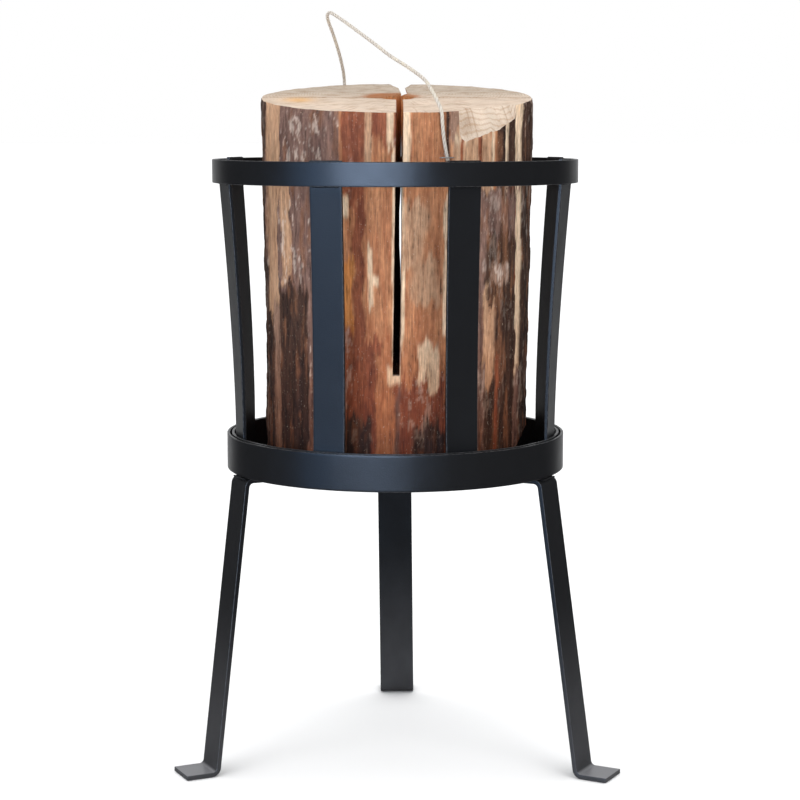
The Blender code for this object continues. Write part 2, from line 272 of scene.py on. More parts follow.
def paint_corners(data: bpy.types.Mesh, painters: Sequence[Painter]) -> None:
    """Store a colour at each face corner, worked out by the painter of the face's kind.

    Args:
        data: The mesh, still about the hoops' axis.
        painters: One function from points to colours for each kind of surface.
    """
    place = mesh_points(data).astype(float)
    corner = np.empty(len(data.loops), np.int32)
    data.loops.foreach_get("vertex_index", corner)
    counts = np.empty(len(data.polygons), np.int32)
    kinds = np.empty(len(data.polygons), np.int32)
    data.polygons.foreach_get("loop_total", counts)
    data.polygons.foreach_get("material_index", kinds)
    kind = np.repeat(kinds, counts)
    colours = np.ones((len(corner), 4), np.float32)
    for number, painter in enumerate(painters):
        used = np.unique(corner[kind == number])
        table = np.zeros((len(place), 3))
        table[used] = painter(place[used])
        colours[kind == number, :3] = table[corner[kind == number]]
    layer = data.color_attributes.new("tint", "FLOAT_COLOR", "CORNER")
    layer.data.foreach_set("color", colours.reshape(-1))


def around(turn: np.ndarray | float, radius: np.ndarray | float,
           height: np.ndarray | float) -> np.ndarray:
    """Points at angles in radians from the front, distances from the axis and heights."""
    turn, radius, height = np.broadcast_arrays(turn, radius, height)
    return np.stack([radius * np.sin(turn), -radius * np.cos(turn), height], axis=-1)


def outward(turn: np.ndarray | float) -> np.ndarray:
    """The direction away from the axis at an angle from the front."""
    return around(turn, 1.0, 0.0)


def sideways(turn: np.ndarray | float) -> np.ndarray:
    """The level direction across the outward one, rightwards at the front."""
    return np.stack([np.cos(turn), np.sin(turn), np.zeros_like(turn)], axis=-1)


def full_turn(count: int) -> np.ndarray:
    """Even angles round a full turn, in radians."""
    return np.linspace(0.0, 2 * math.pi, count, endpoint=False)


def circle(turn: np.ndarray) -> np.ndarray:
    """Points of a unit circle, of shape (n, 2)."""
    return np.stack([np.cos(turn), np.sin(turn)], axis=-1)


def rounded_section(wide: float, thick: float, edge: float) -> tuple[np.ndarray, np.ndarray]:
    """The outline of a flat bar: a rectangle whose corners are quarter circles.

    Args:
        wide: Its width, along the first axis.
        thick: Its thickness, along the second.
        edge: The radius of its corners.

    Returns:
        The (across, out) points, counter-clockwise, and how near each is to an edge.
    """
    corners = np.array([(1, 1), (-1, 1), (-1, -1), (1, -1)]) * [wide / 2 - edge, thick / 2 - edge]
    share = np.array([0.06, 0.25, 0.5, 0.75, 0.94])[:, None]
    points, rubs = [], []
    for quarter, corner in enumerate(corners):
        arms = edge * circle(math.pi / 2 * (quarter + np.linspace(0.0, 1.0, 5)))
        start, finish = corner + arms[-1], corners[(quarter + 1) % 4] + arms[-1]
        points += [corner + arms, start + (finish - start) * share]
        rubs.append([0.55, 0.9, 1.0, 0.9, 0.55, 0.1, 0.0, 0.0, 0.0, 0.1])
    return np.concatenate(points), np.concatenate(rubs)


def carry(section: np.ndarray, middles: np.ndarray, sides: np.ndarray, outs: np.ndarray) -> np.ndarray:
    """Carry an outline along a path: each ring is its middle plus side and out shares.

    Args:
        section: The outline, of shape (n, 2), or (rings, n, 2) where it changes.
        middles: The path's points.
        sides: The direction of the outline's first axis at each point.
        outs: The direction of its second axis.

    Returns:
        Points of shape (rings, n, 3).
    """
    shape = np.broadcast_to(section, (len(middles), *section.shape[-2:]))
    return (middles[:, None] + shape[..., :1] * sides[:, None] + shape[..., 1:] * outs[:, None])


def unit(vectors: np.ndarray) -> np.ndarray:
    """Vectors of the same directions and length 1."""
    return vectors / np.maximum(np.linalg.norm(vectors, axis=-1, keepdims=True), 1e-12)


def with_ends(values: np.ndarray, count: int) -> np.ndarray:
    """A row of values whose first and last each stand there count times."""
    return np.concatenate([np.tile(values[0], (count, 1)), values[1:-1],
                           np.tile(values[-1], (count, 1))])


def add_tube(skin: Skin, rings: np.ndarray, rub: np.ndarray | float = 0.0) -> None:
    """Add rings joined into a tube, each end closed by one flat face.

    Args:
        skin: Where the tube is added.
        rings: Its points, of shape (rings, n, 3).
        rub: How near each point is to an edge, from 0 to 1.
    """
    count, around_it = rings.shape[:2]
    faces = grid_faces(count, around_it, False, True).tolist()
    last = (count - 1) * around_it
    faces.append(list(range(around_it))[::-1])
    faces.append(list(range(last, last + around_it)))
    skin.add(rings, faces, rub=rub)


# ---------------------------------------------------------------------------- shaders


class Socket:
    """A shader value on which Python arithmetic adds Math nodes."""

    def __init__(self, graph: "Graph", link: bpy.types.NodeSocket) -> None:
        """Keep the graph and the socket that carries the value."""
        self.graph = graph
        self.link = link

    def __add__(self, other: "Socket | float") -> "Socket":
        """Sum."""
        return self.graph.math("ADD", self, other)

    def __sub__(self, other: "Socket | float") -> "Socket":
        """Difference."""
        return self.graph.math("SUBTRACT", self, other)

    def __rsub__(self, other: "Socket | float") -> "Socket":
        """Difference from a number."""
        return self.graph.math("SUBTRACT", other, self)

    def __mul__(self, other: "Socket | float") -> "Socket":
        """Product."""
        return self.graph.math("MULTIPLY", self, other)

    __radd__ = __add__
    __rmul__ = __mul__


class Graph:
    """The nodes of one material or world."""

    def __init__(self, tree: bpy.types.NodeTree) -> None:
        """Start with an empty tree."""
        self.tree = tree
        tree.nodes.clear()

    def node(self, kind: str, settings: Mapping[str, object] | None = None,
             inputs: Mapping[str | int, object] | None = None) -> bpy.types.Node:
        """Add a node: its settings first, then values or links on its sockets.

        Args:
            kind: The node's type.
            settings: Values of its own properties.
            inputs: A value or a Socket for each socket named or numbered.

        Returns:
            The node.
        """
        item = self.tree.nodes.new(kind)
        for key, value in (settings or {}).items():
            setattr(item, key, value)
        for key, value in (inputs or {}).items():
            if isinstance(value, Socket):
                self.tree.links.new(value.link, item.inputs[key])
            else:
                item.inputs[key].default_value = value
        return item

    def out(self, item: bpy.types.Node, name: str | int = 0) -> Socket:
        """One output of a node as a value."""
        return Socket(self, item.outputs[name])

    def math(self, operation: str, one: Socket | float, two: Socket | float = 0.0) -> Socket:
        """A Math node on two values."""
        return self.out(self.node("ShaderNodeMath", {"operation": operation}, {0: one, 1: two}))

    def vector(self, operation: str, *values: Socket | Sequence[float],
               output: str | int = 0) -> Socket:
        """A Vector Math node on one to three vectors."""
        item = self.node("ShaderNodeVectorMath", {"operation": operation}, dict(enumerate(values)))
        return self.out(item, output)

    def place(self, output: str = "Object") -> Socket:
        """The coordinates of the piece, or of the world when they are Generated."""
        return self.out(self.node("ShaderNodeTexCoord"), output)

    def split(self, vector: Socket) -> tuple[Socket, ...]:
        """The X, Y and Z of a vector."""
        item = self.node("ShaderNodeSeparateXYZ", None, {0: vector})
        return tuple(self.out(item, name) for name in "XYZ")

    def step(self, value: Socket, low: float, high: float) -> Socket:
        """Rise smoothly from 0 at low to 1 at high."""
        settings = {"interpolation_type": "SMOOTHSTEP"}
        inputs = {"Value": value, "From Min": low, "From Max": high}
        return self.out(self.node("ShaderNodeMapRange", settings, inputs))

    def mix(self, share: Socket | float, one: Socket | Colour, two: Socket | Colour,
            blend: str = "MIX") -> Socket:
        """Mix two colours by a share, or with another blend such as MULTIPLY."""
        full = [value if isinstance(value, Socket) else (*value, 1.0) for value in (one, two)]
        settings = {"data_type": "RGBA", "blend_type": blend}
        return self.out(self.node("ShaderNodeMix", settings, {0: share, 6: full[0], 7: full[1]}), 2)

    def attribute(self, name: str, output: str) -> Socket:
        """A stored attribute of the piece."""
        return self.out(self.node("ShaderNodeAttribute", {"attribute_name": name}), output)

    def noise(self, size: Sequence[float], detail: float = 2.0, seed: float = 0.0,
              place: Socket | None = None) -> Socket:
        """Noise on the piece's own coordinates.

        Args:
            size: The size of a feature along X, Y and Z, in metres.
            detail: How many finer layers it has.
            seed: A shift in metres, for a pattern of its own.
            place: Coordinates to use in place of the piece's own.

        Returns:
            A value from 0 to 1, about 0.5 in the middle.
        """
        scaled = self.vector("MULTIPLY_ADD", place or self.place(), [1.0 / s for s in size],
                             (seed, seed, seed))
        return self.out(self.node("ShaderNodeTexNoise", None,
                                  {"Vector": scaled, "Scale": 1.0, "Detail": detail}))

    def bump(self, height: Socket, distance: float) -> Socket:
        """A bumped normal from a height."""
        inputs = {"Height": height, "Distance": distance, "Strength": 1.0}
        return self.out(self.node("ShaderNodeBump", None, inputs))


class Finish(ABC):
    """A material made of a Principled shader; each kind of finish adds its own nodes."""

    name: ClassVar[str]

    def make(self) -> bpy.types.Material:
        """Build the material.

        Returns:
            The material.
        """
        finish = bpy.data.materials.new(self.name)
        finish.use_nodes = True
        graph = Graph(finish.node_tree)
        shader = graph.node("ShaderNodeBsdfPrincipled", None, self.fill(graph))
        graph.node("ShaderNodeOutputMaterial", None, {"Surface": graph.out(shader)})
        return finish

    @abstractmethod
    def fill(self, graph: Graph) -> dict[str, object]:
        """Add the nodes that lead to the shader.

        Args:
            graph: The material's nodes.

        Returns:
            A value or a link for each of the shader's inputs that is set.
        """


@dataclass(frozen=True)
class PaintedSteel(Finish):
    """Satin black powder coat with orange peel, rubbed pale along its edges."""

    name: ClassVar[str] = "painted_steel_finish"
    paint: Colour = (0.0090, 0.0093, 0.0104)
    rubbed: Colour = (0.085, 0.085, 0.088)
    dust: Colour = (0.165, 0.165, 0.175)
    dust_line: float = 0.170
    roughness: float = 0.27
    specular: float = 0.15

    def fill(self, graph: Graph) -> dict[str, object]:
        """Black paint, rubbed pale on its edges, with dust near the floor.

        Args:
            graph: The material's nodes.

        Returns:
            The shader's inputs.
        """
        peel = graph.noise((0.0011,) * 3, 1.0)
        pits = graph.noise((0.0004,) * 3, 1.0, 3.0)
        smears = graph.noise((0.018, 0.018, 0.030), 3.0, 7.0)
        nicks = graph.noise((0.0022,) * 3, 3.0, 11.0)
        edge = graph.attribute("rub", "Fac")
        worn = graph.step(edge + nicks * 0.9, 1.22, 1.52)
        facing = graph.split(graph.out(graph.node("ShaderNodeNewGeometry"), "Normal"))[2]
        near_floor = graph.step(graph.split(graph.place())[2], self.dust_line, 0.004)
        upward = graph.step(facing, 0.5, 0.95)
        settled = near_floor * (upward * 0.75 + 0.25) * (smears * 0.6 + 0.7)
        colour = graph.mix(settled, self.paint, self.dust)
        colour = graph.mix(worn * 0.75, colour, self.rubbed)
        height = peel * 0.75 + pits * 0.25
        return {
            "Base Color": colour,
            "Roughness": smears * 0.14 + worn * 0.18 + self.roughness,
            "Specular IOR Level": self.specular,
            "Normal": graph.bump(height, 0.00009),
        }


@dataclass(frozen=True)
class BarkFinish(Finish):
    """Fibrous bark: the painted zones broken up by upright fibres, painted shade in the cracks, and
    flecks.
    """

    name: ClassVar[str] = "bark_finish"
    # Painted shade: the dark colour put into the cracks, where the bump is low.
    painted_crack_shade: Colour = srgb(40, 27, 22)
    fleck: Colour = srgb(232, 212, 190)

    def fill(self, graph: Graph) -> dict[str, object]:
        """The painted zones times fibres, with painted shade in the cracks and pale flecks.

        Args:
            graph: The material's nodes.

        Returns:
            The shader's inputs.
        """
        tint = graph.attribute("tint", "Color")
        fibres = graph.noise((0.0010, 0.0010, 0.016), 3.0)
        streaks = graph.noise((0.0032, 0.0032, 0.045), 3.0, 5.0)
        specks = graph.noise((0.0008, 0.0008, 0.0022), 2.0, 9.0)
        mottle = graph.noise((0.0026, 0.0026, 0.0060), 4.0, 13.0)
        shade = fibres * 1.25 + streaks * 0.85 + mottle * 0.9 - 0.52
        colour = graph.mix(1.0, tint, self.grey(graph, shade), "MULTIPLY")
        # Painted shade: the cracks, the low places of the fibre and streak noise that the bump also
        # sinks, darken.
        cracks = graph.step(fibres * 0.4 + streaks * 0.3 + mottle * 0.3, 0.41, 0.33)
        colour = graph.mix(cracks * 0.6, colour, self.painted_crack_shade)
        flecks = graph.step(specks, 0.66, 0.74)
        colour = graph.mix(flecks * 0.3, colour, self.fleck)
        return {
            "Base Color": colour,
            "Roughness": fibres * 0.25 + 0.62,
            "Specular IOR Level": WOOD_SPECULAR,
            "Normal": graph.bump(fibres * 0.6 + streaks * 0.8 + mottle * 0.5 + specks * 0.2, 0.0008),
        }

    def grey(self, graph: Graph, value: Socket) -> Socket:
        """The value as a grey colour."""
        return graph.out(graph.node("ShaderNodeCombineColor", None,
                                    {0: value, 1: value, 2: value}))


@dataclass(frozen=True)
class SawnFinish(Finish):
    """Sawn end grain and slot walls: growth rings, saw marks and sawdust."""

    name: ClassVar[str] = "sawn_wood_finish"
    ring: Colour = srgb(196, 160, 122)
    blotch: Colour = srgb(196, 170, 146)
    # Painted shade: the colour the end-grain checks darken to.
    painted_check_shade: Colour = srgb(182, 148, 118)
    dust: Colour = srgb(232, 216, 196)
    pith: tuple[float, float] = (0.004, 0.006)
    ring_pitch: float = 2400.0
    tooth_pitch: float = 2900.0

    def fill(self, graph: Graph) -> dict[str, object]:
        """Rings about the pith, blotches, painted shade in checks that run outwards, and sawdust.

        Args:
            graph: The material's nodes.

        Returns:
            The shader's inputs.
        """
        tint = graph.attribute("tint", "Color")
        place = graph.place()
        flat = graph.vector("MULTIPLY_ADD", place, (1.0, 1.0, 0.0),
                            (-self.pith[0], -self.pith[1], 0.0))
        away = graph.vector("LENGTH", flat, output="Value")
        wander = graph.noise((0.030, 0.030, 0.200), 3.0)
        years = graph.math("SINE", away * self.ring_pitch + wander * 22.0)
        x, y, _ = graph.split(place)
        marks = graph.math("SINE", (x * 0.35 + y) * self.tooth_pitch + wander * 9.0)
        sawdust = graph.noise((0.0012,) * 3, 3.0, 4.0)
        blotches = graph.noise((0.011, 0.011, 0.060), 4.0, 2.0)
        rays = graph.vector("MULTIPLY_ADD", place, (0.7, 0.7, 0.0), graph.vector("NORMALIZE", flat))
        checks = graph.noise((0.030, 0.030, 1.0), 4.0, 21.0, rays)
        colour = tint
        # The checks get painted shade: they darken as well as sink in the bump.
        for share, tone in ((graph.step(years, 0.1, 1.0) * 0.34, self.ring),
                            (graph.step(blotches, 0.42, 0.78) * 0.5, self.blotch),
                            (graph.step(checks, 0.55, 0.68) * 0.4, self.painted_check_shade)):
            colour = graph.mix(share, colour, graph.mix(1.0, tint, tone, "MULTIPLY"))
        colour = graph.mix(graph.step(sawdust, 0.58, 0.70) * 0.35, colour, self.dust)
        return {
            "Base Color": colour,
            "Roughness": blotches * 0.2 + 0.70,
            "Specular IOR Level": WOOD_SPECULAR,
            "Normal": graph.bump(marks * 0.22 + sawdust * 1.3 + years * 0.12 - checks, 0.0006),
        }


@dataclass(frozen=True)
class TwineFinish(Finish):
    """Pale natural twine: fine fibres, and painted shade darkening the grooves between the strands."""

    name: ClassVar[str] = "twine_finish"
    fibre: Colour = srgb(202, 194, 184)
    # Painted shade: the colour the fibre darkens to in the grooves between the strands.
    groove: Colour = srgb(176, 165, 150)
    straw: Colour = srgb(226, 216, 190)

    def fill(self, graph: Graph) -> dict[str, object]:
        """Fibre with painted shade darkening it into the grooves, with straw-coloured patches.

        Args:
            graph: The material's nodes.

        Returns:
            The shader's inputs.
        """
        deep = graph.attribute("rub", "Fac")
        hairs = graph.noise((0.0005,) * 3, 3.0)
        patches = graph.noise((0.012,) * 3, 2.0, 6.0)
        # Painted shade in the grooves: the rub attribute is how deep in a groove a point lies.
        colour = graph.mix(graph.step(deep + hairs * 0.5, 0.35, 1.15), self.fibre, self.groove)
        colour = graph.mix(graph.step(patches, 0.45, 0.7) * 0.35, colour, self.straw)
        return {
            "Base Color": colour,
            "Roughness": hairs * 0.2 + 0.72,
            "Normal": graph.bump(hairs, 0.0003),
        }


@dataclass(frozen=True)
class StapleFinish(Finish):
    """Bright drawn wire with faint draw lines."""

    name: ClassVar[str] = "staple_finish"
    wire: Colour = (0.66, 0.64, 0.60)
    dull: Colour = srgb(150, 140, 126)

    def fill(self, graph: Graph) -> dict[str, object]:
        """Metal with dull draw lines.

        Args:
            graph: The material's nodes.

        Returns:
            The shader's inputs.
        """
        lines = graph.noise((0.0002, 0.0002, 0.004), 2.0)
        return {
            "Base Color": graph.mix(graph.step(lines, 0.45, 0.7) * 0.4, self.wire, self.dull),
            "Metallic": 1.0,
            "Roughness": lines * 0.3 + 0.2,
            "Normal": graph.bump(lines, 0.00005),
        }


# ----------------------------------------------------------------------------- studio


@dataclass(frozen=True)
class Lamp:
    """A soft rectangular light that faces the rack.

    Its place is measured in metres from the foot of the hoops' axis, its power in watts.
    It lights plain surfaces, is mirrored in glossy paint, or both.
    """

    name: str
    place: tuple[float, float, float]
    size: tuple[float, float]
    power: float
    colour: Colour
    lights: bool
    mirrored: bool


@dataclass(frozen=True)
class FloorFinish(Finish):
    """A pale, almost even floor."""

    name: ClassVar[str] = "floor_finish"
    pale: Colour = (0.94, 0.94, 0.94)
    dim: Colour = (0.90, 0.90, 0.90)

    def fill(self, graph: Graph) -> dict[str, object]:
        """A slow change between two greys.

        Args:
            graph: The material's nodes.

        Returns:
            The shader's inputs.
        """
        colour = graph.mix(graph.noise((0.4,) * 3), self.dim, self.pale)
        return {"Base Color": colour, "Roughness": 0.9, "Specular IOR Level": 0.1}


@dataclass
class Studio:
    """The camera, the pale floor and the soft lights."""

    axis: Vector
    camera_back: float = 1.8799
    camera_side: float = -0.00087
    camera_height: float = 0.56067
    pitch: float = 7.386
    yaw: float = 0.155
    lens: float = 95.6
    floor_radius: float = 60.0
    floor_level: float = -0.0004
    overhead: float = 1.7
    overhead_spread: float = 110.0
    aim_height: float = 0.35
    room_dark: Colour = (0.050, 0.051, 0.055)
    room_light: Colour = (0.98, 0.99, 1.0)
    lamps: tuple[Lamp, ...] = (
        Lamp("fill_left", (-1.7, -1.9, 1.1), (1.4, 1.6), 20.0, (1.0, 0.99, 0.98), True, False),
        Lamp("fill_right", (1.5, -2.0, 1.2), (1.4, 1.6), 20.0, (1.0, 0.99, 0.98), True, False),
        Lamp("window", (-0.56, -2.26, 0.70), (1.9, 1.0), 200.0, (0.52, 0.70, 1.0), False, True),
        Lamp("blue_wall", (-1.75, -1.5, 0.5), (1.0, 1.2), 24.0, (0.24, 0.52, 1.0), False, True),
    )

    def build(self) -> None:
        """Make everything around the object."""
        scene = bpy.context.scene
        scene.view_settings.view_transform = "Standard"
        self.build_camera()
        self.build_floor()
        self.build_world()
        for lamp in self.lamps:
            self.hang(lamp)
        self.build_sky()
        LOG.info("studio: camera, floor and lights")

    def build_sky(self) -> None:
        """A broad soft light from straight above, even over the whole floor."""
        sun = bpy.data.lights.new("overhead", "SUN")
        sun.energy = self.overhead
        sun.angle = math.radians(self.overhead_spread)
        item = bpy.data.objects.new("overhead", sun)
        item.location = (0.0, 0.0, 3.0)
        item.visible_glossy = False
        bpy.context.scene.collection.objects.link(item)

    def build_camera(self) -> None:
        """Stand the camera in front of the rack, looking slightly down."""
        camera = bpy.data.objects.new("camera", bpy.data.cameras.new("camera"))
        camera.data.lens = self.lens
        camera.location = (self.axis.x + self.camera_side, self.axis.y - self.camera_back,
                           self.camera_height)
        camera.rotation_euler = (math.radians(90.0 - self.pitch), 0.0, -math.radians(self.yaw))
        bpy.context.scene.collection.objects.link(camera)
        bpy.context.scene.camera = camera

    def build_floor(self) -> None:
        """A wide pale disc: rings of points spreading from the middle."""
        reach = np.linspace(0.0, 1.0, 9) ** 2 * self.floor_radius
        turn = full_turn(48)
        skin = Skin()
        skin.add(around(turn[None, :], reach[:, None], self.floor_level),
                 grid_faces(len(reach), len(turn), False, True))
        floor = skin.mesh("studio_floor", self.axis, [FloorFinish().make()])
        up = np.empty(len(floor.data.polygons) * 3, np.float32)
        floor.data.polygons.foreach_get("normal", up)
        if up.reshape(-1, 3)[:, 2].sum() < 0:
            floor.data.flip_normals()
        floor.visible_glossy = False

    def build_world(self) -> None:
        """White all round to the eye; what lights the room is dimmer on the open front side."""
        world = bpy.data.worlds.new("studio_world")
        world.use_nodes = True
        graph = Graph(world.node_tree)
        _, depth, height = graph.split(graph.place("Generated"))
        behind = graph.step(depth, -0.25, 0.45)
        above = graph.step(height, 0.15, 0.8)
        far = graph.step(depth, 0.70, 0.98)
        rays = graph.node("ShaderNodeLightPath")
        spread = graph.math("MAXIMUM", behind, above * 0.8)
        mirrored = graph.math("MAXIMUM", far, above * 0.3)
        share = spread + (mirrored - spread) * graph.out(rays, "Is Glossy Ray")
        room = graph.mix(share, self.room_dark, self.room_light)
        lit, seen = (graph.out(graph.node("ShaderNodeBackground", None, {"Color": colour}))
                     for colour in (room, (1.0, 1.0, 1.0, 1.0)))
        both = graph.node("ShaderNodeMixShader", None,
                          {0: graph.out(rays, "Is Camera Ray"), 1: lit, 2: seen})
        graph.node("ShaderNodeOutputWorld", None, {"Surface": graph.out(both)})
        bpy.context.scene.world = world

    def hang(self, lamp: Lamp) -> None:
        """Hang one lamp so that it faces the rack.

        Args:
            lamp: What it is and where it hangs.
        """
        light = bpy.data.lights.new(lamp.name, "AREA")
        light.shape = "RECTANGLE"
        light.size, light.size_y = lamp.size
        light.energy = lamp.power
        light.color = lamp.colour
        item = bpy.data.objects.new(lamp.name, light)
        item.location = self.axis + Vector(lamp.place)
        aim = self.axis + Vector((0.0, 0.0, self.aim_height)) - item.location
        item.rotation_euler = aim.to_track_quat("-Z", "Y").to_euler()
        item.visible_camera = False
        item.visible_diffuse = lamp.lights
        item.visible_glossy = lamp.mirrored
        bpy.context.scene.collection.objects.link(item)


# ------------------------------------------------------------------------------ steel


@dataclass
class Steelwork:
    """What the stand and the basket share: hoops, bars and weld beads."""

    axis: Vector
    finish: bpy.types.Material
    edge: float = 0.55 * MM
    ripple: float = 0.22 * MM

    def hoop(self, name: str, node: str, wall: float, body: Body) -> bpy.types.Object:
        """A rolled flat hoop: its rounded outline carried round the axis, slightly uneven.

        Args:
            name: The piece's name.
            node: The CAD node it stands for, which gives its radius and heights.
            wall: Its thickness.
            body: The body it rides on.

        Returns:
            The new piece.
        """
        low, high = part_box(node)
        radius = (high.x - low.x) / 2
        section, rub = rounded_section(wall, high.z - low.z, self.edge)
        turn = full_turn(360)
        out = outward(turn)
        lift = np.tile([0.0, 0.0, 1.0], (len(turn), 1))
        middle = out * (radius - wall / 2) + lift * (low.z + high.z) / 2
        points = carry(section, middle, out, lift)
        uneven = grain(points, 0.035, 0.050, 21 + len(name)) * self.ripple
        points -= unit(points * [1, 1, 0]) * (uneven[..., None] + self.ripple)
        skin = Skin()
        skin.add(points, grid_faces(len(turn), len(section), True, True), rub=rub)
        return self.finished(skin, name, node, body)

    def bar(self, name: str, node: str, middles: np.ndarray, sides: np.ndarray, wide: float,
            thick: float, body: Body) -> bpy.types.Object:
        """A flat bar: its rounded outline carried along a path, both ends rounded over.

        At each end the outline shrinks by edge (1 - cos t) while it moves out by
        edge sin t, as t goes from 0 to a right angle.

        Args:
            name: The piece's name.
            node: The CAD node it stands for.
            middles: The points along the bar's middle.
            sides: The direction of its width at each point.
            wide: Its width.
            thick: Its thickness.
            body: The body it rides on.

        Returns:
            The new piece.
        """
        edge = self.edge
        ahead = unit(np.gradient(middles, axis=0))
        turn = np.linspace(0.0, math.pi / 2, 4)
        inset = edge * (1 - np.cos(turn))
        pull = edge * (1 - np.sin(turn))
        first = middles[0] + ahead[0] * pull[::-1, None]
        last = middles[-1] - ahead[-1] * pull[:, None]
        path = np.concatenate([first, middles[1:-1], last])
        along, side = with_ends(ahead, len(turn)), with_ends(sides, len(turn))
        shrink = np.concatenate([inset[::-1], np.zeros(len(middles) - 2), inset])
        section, rub = rounded_section(wide, thick, edge)
        half = np.array([wide / 2, thick / 2])
        shapes = section[None] * (1 - shrink[:, None, None] / half)
        out = unit(np.cross(along, side))
        points = carry(shapes, path, side, out)
        uneven = grain(points, 0.030, 0.045, 40 + len(name)) * self.ripple
        flat = (rub < 0.5)[None, :, None] * out[:, None] * np.sign(section[None, :, 1:])
        points -= flat * (np.abs(uneven)[..., None] * 0.6)
        tips = smoothstep(shrink, 0.0, edge * 0.3)
        skin = Skin()
        add_tube(skin, points, np.maximum(rub[None, :], tips[:, None]))
        return self.finished(skin, name, node, body)

    def bead(self, name: str, middles: np.ndarray, radius: float, body: Body, node: str = "",
             pitch: float = 1.7 * MM) -> bpy.types.Object:
        """A weld bead: a round section whose radius swells once for each drop of metal.

        Args:
            name: The piece's name.
            middles: The points along the bead.
            radius: Its radius at the crest of a drop.
            body: The body it rides on.
            node: The CAD node it stands for, if there is one.
            pitch: The length of one drop.

        Returns:
            The new piece.
        """
        steps = np.linalg.norm(np.diff(middles, axis=0), axis=1)
        run = np.concatenate([[0.0], np.cumsum(steps)])
        drops = np.abs(np.sin(math.pi * run / pitch))
        ends = np.sqrt(np.clip(np.minimum(run, run[-1] - run) / (2 * radius), 0.0, 1.0))
        size = radius * (0.80 + 0.20 * drops) * np.maximum(ends, 0.05)
        ahead = unit(np.gradient(middles, axis=0))
        side = unit(np.cross(ahead, np.tile([0.0, 0.0, 1.0], (len(ahead), 1))))
        shapes = circle(full_turn(14)) * size[:, None, None]
        points = carry(shapes, middles, side, np.cross(side, ahead))
        skin = Skin()
        add_tube(skin, points, 0.25)
        return self.finished(skin, name, node, body)

    def finished(self, skin: Skin, name: str, node: str, body: Body) -> bpy.types.Object:
        """Make a painted piece of the surfaces gathered and tie it to its body."""
        return tie(skin.mesh(name, self.axis, [self.finish]), body, node)


@dataclass
class Stand(Steelwork):
    """The hoop on three bent flat-bar legs, each held by a weld bead."""

    hoop_wall: float = 2.5 * MM
    leg_wide: float = 32.5 * MM
    leg_thick: float = 4.0 * MM
    leg_inset: float = 1.5 * MM
    tab_reach: float = 25.0 * MM
    foot_length: float = 28.6 * MM
    splay: float = 0.1316
    lean: float = 0.0117
    bend: float = 6.0 * MM
    bend_steps: int = 10
    spacing: float = 2.5 * MM
    weld_gap: float = 0.3 * MM
    weld_radius: float = 0.9 * MM
    weld_length: float = 26.0 * MM
    weld_out: float = 0.6 * MM
    leg_turns: Mapping[str, float] = field(default_factory=lambda: {
        "rear": 180.4, "front_left": -64.0, "front_right": 61.6})

    def build(self) -> None:
        """Make the hoop, the legs and the weld beads."""
        self.hoop("painted_stand_ring", "stand_ring", self.hoop_wall, Body.STAND)
        for name, degrees in self.leg_turns.items():
            self.build_leg(name, math.radians(degrees))
            self.build_weld(name, math.radians(degrees))

    def build_leg(self, name: str, turn: float) -> None:
        """One bar from the foot's toe, up the splayed leg, to the tab under the hoop.

        Args:
            name: Which leg.
            turn: Its angle from the front.
        """
        low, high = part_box("stand_ring")
        top = low.z - self.weld_gap - self.leg_thick / 2
        reach = (high.x - low.x) / 2 - self.leg_inset
        heel = reach + self.splay * (top - self.leg_thick / 2)
        corners = np.array([
            (heel + self.foot_length, self.leg_thick / 2), (heel, self.leg_thick / 2),
            (reach, top), (reach - self.tab_reach, top)])
        line = rounded_line(corners, self.bend, self.bend_steps, self.spacing)
        middles = around(turn, line[:, 0], line[:, 1])
        middles[:, 0] += self.lean * (top - line[:, 1])
        sides = np.tile(sideways(turn), (len(line), 1))
        self.bar(f"painted_leg_{name}", f"leg_{name}", middles, sides, self.leg_wide,
                 self.leg_thick, Body.STAND)

    def build_weld(self, name: str, turn: float) -> None:
        """The bead in the groove between a leg's bend and the hoop.

        Args:
            name: Which leg.
            turn: Its angle from the front.
        """
        low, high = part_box("stand_ring")
        radius = (high.x - low.x) / 2 + self.weld_out
        spread = self.weld_length / 2 / radius
        turns = turn + np.linspace(-spread, spread, 100)
        middles = around(turns, radius, low.z - self.weld_radius - self.weld_gap)
        middles[:, 2] += 0.25 * self.weld_gap * np.sin(turns * 300.0)
        self.bead(f"weld_bead_{name}", middles, self.weld_radius, Body.STAND, f"weld_{name}")


def rounded_line(corners: np.ndarray, radius: float, steps: int, spacing: float) -> np.ndarray:
    """A line through corners in a plane, its inner corners arcs and its runs evenly filled.

    An arc touches both runs; its middle stands on the corner's bisector at radius over
    the sine of half the angle.

    Args:
        corners: The corner points, of shape (n, 2).
        radius: The radius of the arcs.
        steps: Points on an arc.
        spacing: The distance between points on a run.

    Returns:
        The points of the line.
    """
    pieces = []
    here = corners[0]
    for before, corner, after in zip(corners, corners[1:], corners[2:]):
        back, ahead = unit(before - corner), unit(after - corner)
        half = math.acos(float(np.clip(back @ ahead, -1.0, 1.0))) / 2
        start = corner + back * (radius / math.tan(half))
        finish = corner + ahead * (radius / math.tan(half))
        middle = corner + unit(back + ahead) * (radius / math.sin(half))
        count = max(2, int(np.linalg.norm(start - here) / spacing))
        pieces.append(here + (start - here) * np.linspace(0, 1, count, endpoint=False)[:, None])
        share = np.linspace(0, 1, steps, endpoint=False)[:, None]
        arms = unit((1 - share) * (start - middle) + share * (finish - middle))
        pieces.append(middle + arms * radius)
        here = finish
    count = max(2, int(np.linalg.norm(corners[-1] - here) / spacing))
    pieces.append(here + (corners[-1] - here) * np.linspace(0, 1, count)[:, None])
    return np.concatenate(pieces)


